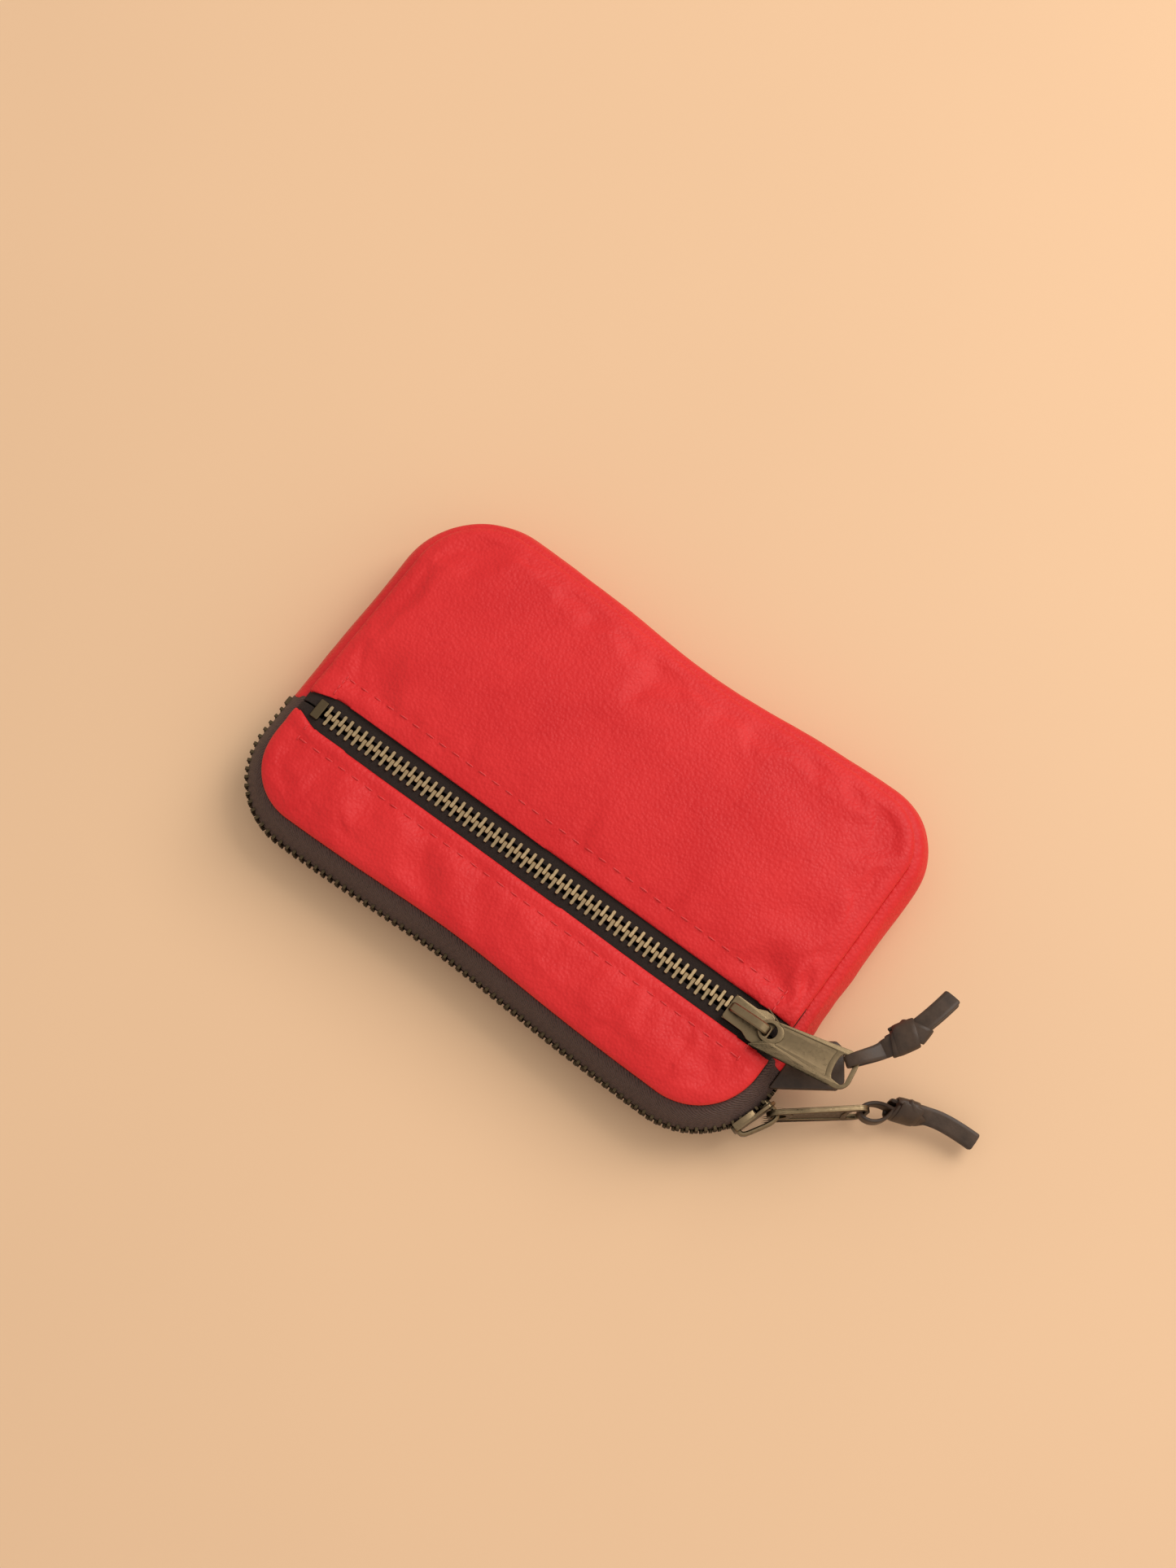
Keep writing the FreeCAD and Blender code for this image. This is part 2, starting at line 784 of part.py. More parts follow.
def main_slider_place():
    """On the arc of the slider's corner, sunk by half the arc's rise over
    the slider's length, so that the curved chain clears both plates."""
    centre, radius, _ = corners()[0]
    outward = direction(size("main_slider_angle"))
    along = direction(size("main_slider_angle") + 90)
    reach = radius + BULGE - MAIN_TAPE / 2 - CURVE_ROOM
    point = centre + outward * reach + Z_AXIS * MIDDLE_Z
    return Placement(frame_matrix(point, along, Z_AXIS))


def pull_place(slider, lift, yaw, swing):
    """The pull's eye in the crown's window: turned by yaw about the crown's
    front leg, then swung up about its own cross axis."""
    window = size("slider_length") * 0.46 - size("crown_bar")
    eye = Vector(window - size("crown_bar") * 1.25, 0, lift + size("pull_thickness") * 0.7)
    spin = turned(Z_AXIS, yaw).multiply(turned(Y_AXIS, -swing))
    return slider.multiply(Placement(eye, spin.Rotation))


half_channel = size("tooth_height") / 2 + size("slider_clearance")
pocket_place = Placement(
    Vector(size("pocket_slider_rest"), SLOT_Y, POCKET_CHAIN_Z), Rotation()
)
main_place = main_slider_place()
slider_body("pocket_slider_body", CHANNEL, POCKET_GAP, POCKET_GAP, pocket_place)
slider_crown(
    "pocket_slider_crown", "%s + Sizes.slider_plate" % CHANNEL, pocket_place
)
main_inner_gap = "%s + %s" % (MAIN_GAP, SIDE_FALL)
slider_body("main_slider_body", MAIN_CHANNEL, MAIN_GAP, main_inner_gap, main_place)
slider_crown("main_slider_crown", "%s + Sizes.slider_plate" % MAIN_CHANNEL, main_place)

pocket_lift = half_channel + size("slider_plate")
main_lift = half_channel + CURVE_ROOM + size("slider_plate")
pocket_pull_place = pull_place(
    pocket_place, pocket_lift, size("pocket_pull_yaw"), size("pocket_pull_rise")
)
main_pull_place = pull_place(
    main_place, main_lift, size("main_pull_droop"), size("main_pull_swing")
)
pull_tab("pocket_pull", pocket_pull_place)
pull_tab("main_pull", main_pull_place)

# ------------------------------------------------------------------- laces


def bent_path(points):
    """Straight runs joined by the largest tangent arcs that fit: a list of
    edges, the arcs' radii and the whole length."""
    edges = []
    radii = []
    start = points[0]
    for before, corner, after in zip(points, points[1:], points[2:]):
        arriving = (corner - before).normalize()
        leaving = (after - corner).normalize()
        half_turn = arriving.getAngle(leaving) / 2
        reach = 0.45 * min(corner.distanceToPoint(before), corner.distanceToPoint(after))
        radii.append(reach / math.tan(half_turn))
        first = corner - arriving * reach
        last = corner + leaving * reach
        inward = (leaving - arriving).normalize()
        sag = radii[-1] / math.cos(half_turn) - radii[-1]
        middle = corner + inward * sag
        edges.append(Part.makeLine(start, first))
        edges.append(Part.Arc(first, middle, last).toShape())
        start = last
    edges.append(Part.makeLine(start, points[-1]))
    return edges, radii, sum(edge.Length for edge in edges)


def tube(points, diameter):
    """A round cord along a bent path."""
    edges, radii, length = bent_path(points)
    wire = Part.Wire(edges)
    heading = points[1] - points[0]
    circle = Part.Wire(Part.makeCircle(diameter / 2, points[0], heading))
    solid = wire.makePipeShell([circle], True, True)
    ratio = solid.Volume / (math.pi * diameter**2 / 4 * length)
    print("lace length %.1f mm, radii" % length, ["%.1f" % r for r in radii])
    print("lace volume over section times length %.4f" % ratio)
    return solid


def lace(label, knot_label, pull, turn, route):
    """A thong looped over the rim of the pull's hole, and its knot. The
    loop stands on the rim where the rim faces turn degrees from +X."""
    far_x = size("pull_length") - size("eye_rim") / 2
    corner = size("pull_corner_radius")
    middle = size("pull_rim") / 2
    if turn:
        bend = Vector(far_x - corner, size("pull_far_width") / 2 - corner, 0)
        seat = bend + direction(turn) * (corner - middle)
    else:
        seat = Vector(far_x - middle, 0, 0)
    outward = direction(turn)
    crossing = direction(turn + 90)
    half_width = size("lace_ring_width") / 2
    foot = seat - crossing * half_width
    loop = Part.makeCylinder(
        size("lace_ring_outer"), size("lace_ring_width"), foot, crossing
    )
    bore = Part.makeCylinder(
        size("lace_ring_inner"), size("lace_ring_width"), foot, crossing
    )
    loop.Placement = pull.multiply(loop.Placement)
    bore.Placement = pull.multiply(bore.Placement)
    root = pull.multVec(seat + outward * (size("lace_ring_outer") - 0.3))
    points = [root] + [root + Vector(*step) for step in route]
    strand = tube(points, size("lace_diameter"))
    whole = strand.fuse(loop).cut(bore).removeSplitter()
    knot_run = (points[2] - points[1]).normalize()
    knot_middle = (points[1] + points[2]) / 2
    knot_foot = knot_middle - knot_run * size("knot_length") / 2
    outer = Part.makeCylinder(
        size("knot_radius"), size("knot_length"), knot_foot, knot_run
    )
    rims = [edge for edge in outer.Edges if isinstance(edge.Curve, Part.Circle)]
    outer = outer.makeFillet(size("knot_radius") * 0.5, rims)
    knot = outer.cut(strand)
    shape_part(label, whole)
    shape_part(knot_label, knot)


lace("pocket_lace", "pocket_lace_knot", pocket_pull_place, 45, LACE_STEPS_POCKET)
lace("main_lace", "main_lace_knot", main_pull_place, 0, LACE_STEPS_MAIN)

# -------------------------------------------------------------- pocket bag


def bag_box(label, length, depth, height, low_y, low_z):
    """A plain box of the pocket bag, its sizes bound to the sheet."""
    box = doc.addObject("Part::Box", label)
    box.setExpression("Length", length)
    box.setExpression("Width", depth)
    box.setExpression("Height", height)
    box.setExpression("Placement.Base.x", "-(%s) / 2" % length)
    box.setExpression("Placement.Base.y", low_y)
    box.setExpression("Placement.Base.z", low_z)
    return box


def boolean(kind, label, base, tool):
    feature = doc.addObject(kind, label)
    feature.Base = base
    feature.Tool = tool
    return feature


def pocket_bag():
    """The cloth bag under the pocket zipper, open upward at the zipper
    through a short neck that is sewn to the two tapes."""
    cloth = "Sizes.lining_thickness"
    under_tape = (
        "(Sizes.pouch_height - Sizes.leather_thickness - Sizes.pocket_tape_thickness)"
    )
    bag_top = "(%s - 2.4)" % under_tape
    low_y = "(Sizes.pocket_line - Sizes.bag_mouth / 2 - 4)"
    outer = bag_box(
        "bag_outer",
        "Sizes.bag_length",
        "Sizes.bag_depth",
        "Sizes.bag_height",
        low_y,
        "%s - Sizes.bag_height" % bag_top,
    )
    neck_low = "(Sizes.pocket_line - Sizes.bag_mouth / 2 - %s)" % cloth
    neck = bag_box(
        "bag_neck",
        "Sizes.bag_length",
        "Sizes.bag_mouth + 2 * %s" % cloth,
        "%s - %s" % (under_tape, bag_top),
        neck_low,
        bag_top,
    )
    inner = bag_box(
        "bag_inner",
        "(Sizes.bag_length - 2 * %s)" % cloth,
        "Sizes.bag_depth - 2 * %s" % cloth,
        "Sizes.bag_height - 2 * %s" % cloth,
        "%s + %s" % (low_y, cloth),
        "%s - Sizes.bag_height + %s" % (bag_top, cloth),
    )
    mouth = bag_box(
        "bag_mouth_slot",
        "(Sizes.bag_length - 2 * %s)" % cloth,
        "Sizes.bag_mouth",
        "2 * %s" % cloth,
        "Sizes.pocket_line - Sizes.bag_mouth / 2",
        "%s - 2 * %s" % (bag_top, cloth),
    )
    between = bag_box(
        "bag_neck_gap",
        "(Sizes.bag_length + 2)",
        "Sizes.bag_mouth",
        "Sizes.bag_height",
        "Sizes.pocket_line - Sizes.bag_mouth / 2",
        bag_top,
    )
    flaps = boolean("Part::Cut", "bag_flaps", neck, between)
    shell = boolean("Part::Fuse", "bag_shell", outer, flaps)
    hollow = boolean("Part::Fuse", "bag_hollow", inner, mouth)
    return keep(boolean("Part::Cut", "pocket_bag", shell, hollow), "pocket_bag")


pocket_bag()

# ---------------------------------------------------------------- stitching


def stitch(centre_x, line_y, along_y=False):
    length = size("stitch_length")
    width = size("stitch_thickness")
    if along_y:
        length, width = width, length
    block = Part.makeBox(length, width, size("stitch_height"))
    block.translate(Vector(centre_x - length / 2, line_y - width / 2, TOP_Z))
    return block


def stitch_row(label, line_y, tack_low, tack_high):
    """A row of topstitches beside the pocket's slot, with a short row of
    tack stitches across to the slot at each end."""
    end = CHAIN_END_X - size("stitch_length") / 2
    count = int(2 * end / size("stitch_pitch"))
    first = -count * size("stitch_pitch") / 2
    solids = [
        stitch(first + index * size("stitch_pitch"), line_y)
        for index in range(count + 1)
    ]
    shape_part(label, Part.makeCompound(solids))
    across = (tack_low + tack_high) / 2
    ends = [stitch(sign * (CHAIN_END_X + 0.2), across, True) for sign in (-1, 1)]
    return ends


upper_row = SLOT_Y + SLOT_HALF + size("upper_stitch_line")
lower_row = SLOT_Y - SLOT_HALF - size("lower_stitch_line")
tacks = stitch_row("topstitch_upper", upper_row, SLOT_Y + SLOT_HALF, upper_row)
tacks += stitch_row("topstitch_lower", lower_row, lower_row, SLOT_Y - SLOT_HALF)
shape_part("tack_stitches", Part.makeCompound(tacks))

# --------------------------------------------------------------- end tab


def end_tab():
    """A folded leather tab sewn in at the closed end of the main zipper. It
    stands out from the side at tab_angle and is trimmed to its surface."""
    length = size("tab_length")
    half = size("tab_width") / 2
    cut = size("tab_corner")
    outline = [
        Vector(-half, -half, 0),
        Vector(length - cut, -half, 0),
        Vector(length, cut - half, 0),
        Vector(length, half - cut, 0),
        Vector(length - cut, half, 0),
        Vector(-half, half, 0),
    ]
    face = Part.Face(Part.makePolygon(outline + outline[:1]))
    tab = face.extrude(Vector(0, 0, size("tab_thickness")))
    foot = Vector(HALF_X + BULGE, size("tab_line"), size("tab_height"))
    tab.Placement = Placement(foot, Rotation(Z_AXIS, size("tab_angle")))
    inside = plate(-BULGE, 0, TOP_Z).common(side_solid())
    return tab.cut(inside)


def side_solid():
    """The pouch's whole body up to its outer side surface."""
    profile_ring = side_skin(0, BULGE + 1)
    return profile_ring.fuse(plate(0.5, BACK_Z, FRONT_Z)).removeSplitter()


shape_part("end_tab", end_tab())

# ------------------------------------------------------------------ output

doc.recompute()
for thing in doc.Objects:
    if "Invalid" in thing.State or "Error" in thing.State:
        raise RuntimeError("%s failed: %s" % (thing.Label, thing.State))
for part in PARTS:
    if part.Shape.isNull() or not part.Shape.isValid():
        raise RuntimeError("%s has no valid shape" % part.Label)

os.makedirs("parts", exist_ok=True)
for part in PARTS:
    part.Shape.exportStep("parts/%s.step" % part.Label)
    box = part.Shape.BoundBox
    print(
        "%-22s %3d solids %9.1f mm3  x %.1f..%.1f  y %.1f..%.1f  z %.1f..%.1f"
        % (
            part.Label,
            len(part.Shape.Solids),
            part.Shape.Volume,
            box.XMin, box.XMax, box.YMin, box.YMax, box.ZMin, box.ZMax,
        )
    )
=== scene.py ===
import math

import bmesh
import bpy
from bpy.props import FloatProperty, FloatVectorProperty, IntProperty, PointerProperty
from mathutils import Matrix, Vector, noise
from mathutils.bvhtree import BVHTree
from mathutils.kdtree import KDTree

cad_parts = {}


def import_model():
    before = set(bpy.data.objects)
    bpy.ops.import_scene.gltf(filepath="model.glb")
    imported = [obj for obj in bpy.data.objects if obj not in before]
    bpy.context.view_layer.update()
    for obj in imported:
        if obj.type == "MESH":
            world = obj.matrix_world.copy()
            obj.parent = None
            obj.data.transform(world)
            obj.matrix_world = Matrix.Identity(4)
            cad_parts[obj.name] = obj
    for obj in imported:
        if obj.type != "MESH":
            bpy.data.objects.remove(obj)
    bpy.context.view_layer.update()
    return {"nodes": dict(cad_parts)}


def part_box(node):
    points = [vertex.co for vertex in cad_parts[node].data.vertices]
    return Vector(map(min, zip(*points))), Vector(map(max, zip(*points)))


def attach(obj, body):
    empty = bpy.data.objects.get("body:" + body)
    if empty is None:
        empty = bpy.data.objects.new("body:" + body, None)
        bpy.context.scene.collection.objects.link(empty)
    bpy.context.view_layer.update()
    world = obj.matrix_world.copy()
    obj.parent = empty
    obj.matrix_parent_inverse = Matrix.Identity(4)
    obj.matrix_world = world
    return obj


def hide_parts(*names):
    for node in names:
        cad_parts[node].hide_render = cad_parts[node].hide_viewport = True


bl_info = {
    "name": "Zippered Pouch",
    "version": (1, 0, 0),
    "blender": (4, 5, 0),
    "location": "3D View > Sidebar > Pouch",
    "description": "A soft leather pouch with two metal zippers, built round its frame",
    "category": "Add Mesh",
}

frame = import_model()

MM = 0.001
CAMERA_AIM = Vector((-0.0045, 0.0074, 0.012))
CAMERA_DISTANCE = 0.602
CAMERA_HEIGHT = math.radians(73.8)
CAMERA_TURN = math.radians(36.6)
Z_AXIS = Vector((0, 0, 1))
PANEL_BOX = (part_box("front_panel_lower")[0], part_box("front_panel_upper")[1])
SLOT_BOX = (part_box("front_panel_lower")[1].y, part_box("front_panel_upper")[0].y)
CHAIN_BOX = (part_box("pocket_teeth_lower")[0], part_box("pocket_teeth_upper")[1])
MAIN_CHAIN_BOX = (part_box("main_teeth_back")[0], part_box("main_teeth_front")[1])

# Steps of the two laces from where they leave the pull: through the knot, to
# the tip.
POCKET_LACE_STEPS = [
    (0.0039, 0.0058, 0.0011),
    (0.0082, 0.0178, 0.0029),
    (0.0096, 0.0262, 0.0009),
]
MAIN_LACE_STEPS = [
    (0.0031, 0.0030, 0.0003),
    (0.0103, 0.0071, 0.0003),
    (0.0181, 0.0094, -0.0005),
    (0.0265, 0.0096, -0.0015),
]


# ------------------------------------------------------------ user settings


def length_setting(name, description, millimetres):
    return FloatProperty(
        name=name, description=description, default=millimetres * MM, unit="LENGTH"
    )


def colour_setting(name, description, red, green, blue):
    """A colour given as it looks on screen, from 0 to 255."""
    linear = [screen_to_linear(part / 255) for part in (red, green, blue)]
    return FloatVectorProperty(
        name=name, description=description, default=linear, subtype="COLOR", size=3
    )


def screen_to_linear(value):
    if value <= 0.04045:
        return value / 12.92
    return ((value + 0.055) / 1.055) ** 2.4


class PouchSizes(bpy.types.PropertyGroup):
    length: FloatProperty(
        name="Length",
        description="Between the seams of the two short sides",
        default=PANEL_BOX[1].x - PANEL_BOX[0].x,
        unit="LENGTH",
    )
    width: FloatProperty(
        name="Width",
        description="Between the seams of the two long sides",
        default=PANEL_BOX[1].y - PANEL_BOX[0].y,
        unit="LENGTH",
    )
    height: FloatProperty(
        name="Height",
        description="Front panel above the surface that the pouch lies on",
        default=PANEL_BOX[1].z,
        unit="LENGTH",
    )
    slider_corner: length_setting("Slider corner", "Radius at the sliders", 20)
    right_corner: length_setting("Right corner", "Radius of the far right corner", 16)
    top_corner: length_setting("Top corner", "Radius of the far left corner", 22)
    left_corner: length_setting("Left corner", "Radius of the near left corner", 18)
    front_seam: length_setting("Front seam", "Height of the front panel's seam", 20)
    back_seam: length_setting("Back seam", "Height of the back panel's seam", 2)
    side_bulge: length_setting("Side bulge", "How far the sides stand out", 4.5)
    leather: length_setting("Leather", "Thickness of the leather", 1.2)
    arch: length_setting("Arch", "Rise of the filled front panel", 1.1)
    top_sag: length_setting("Top sag", "How far the folded long side sinks in", 3.2)
    near_sag: length_setting("Near sag", "How far the zipped side sinks in", 1.8)
    main_zip_right: length_setting("Main zipper, right end", "Its place in Y", -27)
    main_zip_left: length_setting("Main zipper, left end", "Its place in Y", -22)
    upper_stitches: length_setting("Upper stitches", "Row's distance from the slot", 6.6)
    lower_stitches: length_setting("Lower stitches", "Row's distance from the slot", 4.5)
    tooth_pitch: length_setting("Tooth pitch", "Between teeth of one side", 2.4)
    stitch_pitch: length_setting("Stitch pitch", "Between topstitches", 4.5)
    lace_width: length_setting("Lace width", "Width of the flat thong", 5)
    lace_thickness: length_setting("Lace thickness", "Thickness of one layer", 1.1)


class PouchColours(bpy.types.PropertyGroup):
    leather: colour_setting("Red leather", "Main colour of the panels", 209, 24, 27)
    leather_worn: colour_setting("Worn leather", "Where it is rubbed", 222, 38, 38)
    pocket_tape: colour_setting("Pocket tape", "Cotton tape in the slot", 46, 33, 27)
    main_tape: colour_setting("Main tape", "Cotton tape of the sides", 74, 54, 47)
    # Brass and patina are mixed by how far each face turns up: wear and patina, with painted
    # light on upward faces and painted shade on the flanks.
    brass: colour_setting("Brass", "Rubbed tops of the metal", 186, 160, 122)
    patina: colour_setting("Patina", "Dark hollows of the metal", 74, 60, 46)
    thong: colour_setting("Thong", "Leather of the laces", 70, 53, 40)
    cut_edge: colour_setting("Cut edge", "Bare edge of the laces", 100, 78, 60)
    backdrop: colour_setting("Backdrop", "Paper that the pouch lies on", 240, 198, 156)


class PouchLook(bpy.types.PropertyGroup):
    grain_size: length_setting("Grain size", "Pebbles of the leather's grain", 0.9)
    panel_columns: IntProperty(
        name="Panel columns", description="Grid cells along a panel", default=150
    )
    panel_rows: IntProperty(
        name="Panel rows", description="Grid cells across a panel", default=104
    )
    cloth_frames: IntProperty(
        name="Cloth frames", description="Steps of the leather's settling", default=20
    )
    cloth_cap: length_setting("Cloth cap", "Farthest that settling may move it", 1.0)


# -------------------------------------------------------- the sewn outline


class SeamOutline:
    """The rounded rectangle on which panels and sides are sewn together. It
    is walked counterclockwise from the near end of the sliders' corner."""

    def __init__(self, sizes):
        self.sags = (sizes.near_sag, sizes.top_sag)
        radii = (sizes.slider_corner, sizes.right_corner, sizes.top_corner, sizes.left_corner)
        signs = ((1, -1), (1, 1), (-1, 1), (-1, -1))
        self.centres = [
            Vector((sx * (sizes.length / 2 - r), sy * (sizes.width / 2 - r), 0))
            for r, (sx, sy) in zip(radii, signs)
        ]
        self.radii = radii
        self.pieces = []
        self.total = 0.0
        for index in range(4):
            after = (index + 1) % 4
            arc = radii[index] * math.pi / 2
            gap = self.centres[after] - self.centres[index]
            side = Vector((0, 1, 0)) if index % 2 == 0 else Vector((1, 0, 0))
            line = abs(gap.dot(side))
            self.pieces.append((self.total, arc, line))
            self.total += arc + line

    def foot(self, distance):
        """The seam's point at this distance, and its outward direction."""
        distance %= self.total
        index = max(i for i in range(4) if self.pieces[i][0] <= distance)
        start, arc, line = self.pieces[index]
        along = distance - start
        turn = min(along / arc, 1.0) * math.pi / 2
        angle = (index - 1) * math.pi / 2 + turn
        outward = Vector((math.cos(angle), math.sin(angle), 0))
        point = self.centres[index] + outward * self.radii[index]
        if along > arc:
            point += Vector((-outward.y, outward.x, 0)) * (along - arc)
        sag = self.sags[outward.y > 0]
        middle = 6 * MM if outward.y > 0 else -8 * MM
        dent = math.exp(-(((point.x - middle) / (32 * MM)) ** 2))
        point -= outward * sag * dent * abs(outward.y)
        return point, outward

    def middle_of_corner(self, index):
        start, arc, _ = self.pieces[index]
        return start + arc / 2

    def on_right(self, y):
        """Distance of the point at this height on the straight right side."""
        start, arc, _ = self.pieces[0]
        return start + arc + y - self.centres[0].y

    def on_left(self, y):
        start, arc, _ = self.pieces[2]
        return start + arc + self.centres[2].y - y


def eased(t, crowding=0.68):
    """Moves even steps from 0 to 1 closer together near both ends."""
    return t - crowding * math.sin(2 * math.pi * t) / (2 * math.pi)


def smooth(value, low, high):
    t = min(max((value - low) / (high - low), 0.0), 1.0)
    return t * t * (3 - 2 * t)


def seam_tree(outline):
    """Points along the seam, for the distance from any point to it."""
    count = int(outline.total / (0.5 * MM))
    feet = [outline.foot(outline.total * i / count) for i in range(count)]
    tree = KDTree(count)
    for index, (point, _) in enumerate(feet):
        tree.insert(point, index)
    tree.balance()
    return tree, feet


def panel_grid(outline, look, shape):
    """A grid of columns and rows stretched over the outline. shape gives each
    point's place from its flat place, depth from the seam and outward way."""
    m = [outline.middle_of_corner(i) for i in range(4)]
    bottom = (m[3], m[0] + outline.total)
    top = (m[2], m[1])
    left = (m[3], m[2])
    right = (m[0], m[1])

    def along(side, t):
        return outline.foot(side[0] + (side[1] - side[0]) * t)[0]

    corner = [along(bottom, 0), along(bottom, 1), along(top, 0), along(top, 1)]
    tree, feet = seam_tree(outline)
    columns, rows = look.panel_columns, look.panel_rows
    points = []
    for row in range(rows + 1):
        v = eased(row / rows)
        left_point, right_point = along(left, v), along(right, v)
        for column in range(columns + 1):
            u = eased(column / columns)
            flat = along(bottom, u) * (1 - v) + along(top, u) * v
            flat += left_point * (1 - u) + right_point * u
            flat -= (corner[0] * (1 - u) + corner[1] * u) * (1 - v)
            flat -= (corner[2] * (1 - u) + corner[3] * u) * v
            nearest, outward = feet[tree.find(flat)[1]]
            depth = max((nearest - flat).dot(outward), 0.0)
            points.append(shape(flat, depth, outward))
    return points, grid_faces(columns, rows)


def grid_faces(columns, rows, flip=False):
    faces = []
    wide = columns + 1
    for row in range(rows):
        for column in range(columns):
            a = row * wide + column
            quad = (a, a + 1, a + 1 + wide, a + wide)
            faces.append(quad[::-1] if flip else quad)
    return faces


def new_object(name, data):
    """Puts a mesh, curve, lamp or camera in the scene."""
    thing = bpy.data.objects.new(name, data)
    bpy.context.scene.collection.objects.link(thing)
    return thing


def mesh_of(whole, name):
    """A finished bmesh as a plain mesh."""
    mesh = bpy.data.meshes.new(name)
    whole.to_mesh(mesh)
    whole.free()
    return mesh


def hand_over(thing, body, node):
    """Puts a finished piece on its body, in its node's place."""
    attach(thing, body)
    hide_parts(node)


def measure_surface(thing, measures):
    """Gives a strip's points their places along its surface, in metres."""
    layer = thing.data.uv_layers.new(name="surface")
    for loop in thing.data.loops:
        layer.data[loop.index].uv = measures[loop.vertex_index]


def add_object(name, points, faces):
    mesh = bpy.data.meshes.new(name)
    mesh.from_pydata([tuple(p) for p in points], [], faces)
    mesh.update()
    thing = new_object(name, mesh)
    return thing


def shade_smooth(thing, angle=None):
    for polygon in thing.data.polygons:
        polygon.use_smooth = True
    if angle is not None:
        thing.data.set_sharp_from_angle(angle=math.radians(angle))


def thicken(thing, thickness, levels=1):
    """Gives a sheet its thickness inward and rounds it."""
    solid = thing.modifiers.new("Thickness", "SOLIDIFY")
    solid.thickness = thickness
    solid.offset = -1
    if levels:
        round_off = thing.modifiers.new("Round", "SUBSURF")
        round_off.levels = levels
        round_off.render_levels = levels


def line_inside(context, thing, name, node, leather):
    """A thin lining that follows the inner side of a leather sheet."""
    lining = new_object(name, thing.data.copy())
    sink = lining.modifiers.new("Inside the leather", "DISPLACE")
    sink.strength = -leather - 0.15 * MM
    sink.mid_level = 0
    thicken(lining, 0.4 * MM, 0)
    dress(lining, finish_named(context, "lining"))
    hand_over(lining, "pouch", node)


def settled(thing):
    """The object's mesh with its modifiers applied, as a new plain mesh."""
    depsgraph = bpy.context.evaluated_depsgraph_get()
    return bpy.data.meshes.new_from_object(thing.evaluated_get(depsgraph))


def remove(thing):
    data = thing.data
    bpy.data.objects.remove(thing)
    if isinstance(data, bpy.types.Mesh):
        bpy.data.meshes.remove(data)
    elif isinstance(data, bpy.types.Curve):
        bpy.data.curves.remove(data)


# ------------------------------------------------------------------ finishes


class Finish:
    """A material and the few nodes that its pattern is made of."""

    def __init__(self, name, roughness, metallic=0.0):
        self.material = bpy.data.materials.new(name)
        self.material.use_nodes = True
        self.tree = self.material.node_tree
        self.shader = self.tree.nodes["Principled BSDF"]
        self.shader.inputs["Roughness"].default_value = roughness
        self.shader.inputs["Metallic"].default_value = metallic
        self.place = self.node("ShaderNodeTexCoord").outputs["Object"]

    def node(self, kind, **values):
        made = self.tree.nodes.new(kind)
        for name, value in values.items():
            setattr(made, name, value)
        return made

    def set(self, node, **values):
        for name, value in values.items():
            socket = node.inputs[name.replace("_", " ")]
            if isinstance(value, bpy.types.NodeSocket):
                self.tree.links.new(value, socket)
            else:
                socket.default_value = value
        return node

    def stretched(self, vector, x, y, z):
        mapping = self.node("ShaderNodeMapping")
        self.set(mapping, Vector=vector, Scale=(x, y, z))
        return mapping.outputs["Vector"]

    def surface(self):
        """The piece's own measure along its surface, in metres."""
        return self.node("ShaderNodeUVMap", uv_map="surface").outputs["UV"]

    def noise(self, size, detail=3.0, roughness=0.5, vector=None, distortion=0.0):
        texture = self.node("ShaderNodeTexNoise")
        self.set(texture, Vector=vector or self.place, Scale=1 / size, Detail=detail)
        self.set(texture, Roughness=roughness, Distortion=distortion)
        return texture.outputs["Fac"]

    def pebbles(self, size, vector=None):
        texture = self.node("ShaderNodeTexVoronoi", feature="SMOOTH_F1")
        self.set(texture, Vector=vector or self.place, Scale=1 / size)
        self.set(texture, Smoothness=0.35, Randomness=1.0)
        return texture.outputs["Distance"]

    def ribs(self, size, vector, distortion=0.0):
        texture = self.node("ShaderNodeTexWave", wave_type="BANDS")
        texture.bands_direction = "DIAGONAL"
        self.set(texture, Vector=vector, Scale=1 / size, Distortion=distortion)
        return texture.outputs["Fac"]

    def ramp(self, value, *stops):
        """Colours or greys between places from 0 to 1."""
        made = self.node("ShaderNodeValToRGB")
        ramp = made.color_ramp
        while len(ramp.elements) < len(stops):
            ramp.elements.new(0.5)
        for element, (position, colour) in zip(ramp.elements, stops):
            if isinstance(colour, (int, float)):
                colour = (colour, colour, colour)
            element.position = position
            element.color = (*colour, 1.0)
        self.set(made, Fac=value)
        return made.outputs["Color"]

    def sum(self, first, second, share=1.0):
        """first + second times share."""
        made = self.node("ShaderNodeMath", operation="MULTIPLY_ADD")
        self.tree.links.new(second, made.inputs[0])
        made.inputs[1].default_value = share
        self.tree.links.new(first, made.inputs[2])
        return made.outputs["Value"]

    def mixed(self, share, first, second):
        made = self.node("ShaderNodeMix", data_type="RGBA")
        self.tree.links.new(share, made.inputs["Factor"])
        sockets = [s for s in made.inputs if s.type == "RGBA"]
        for socket, colour in zip(sockets, (first, second)):
            if isinstance(colour, bpy.types.NodeSocket):
                self.tree.links.new(colour, socket)
            else:
                socket.default_value = (*colour, 1.0)
        return [s for s in made.outputs if s.type == "RGBA"][0]

    def relief(self, height, depth, strength=1.0, below=None):
        made = self.node("ShaderNodeBump")
        self.set(made, Height=height, Distance=depth, Strength=strength)
        if below is not None:
            self.tree.links.new(below, made.inputs["Normal"])
        return made.outputs["Normal"]

    def finish(self, colour=None, normal=None, roughness=None):
        for name, value in (
            ("Base Color", colour),
            ("Normal", normal),
            ("Roughness", roughness),
        ):
            if value is not None:
                self.tree.links.new(value, self.shader.inputs[name])
        return self.material


def darker(colour, share):
    return tuple(part * share for part in colour)


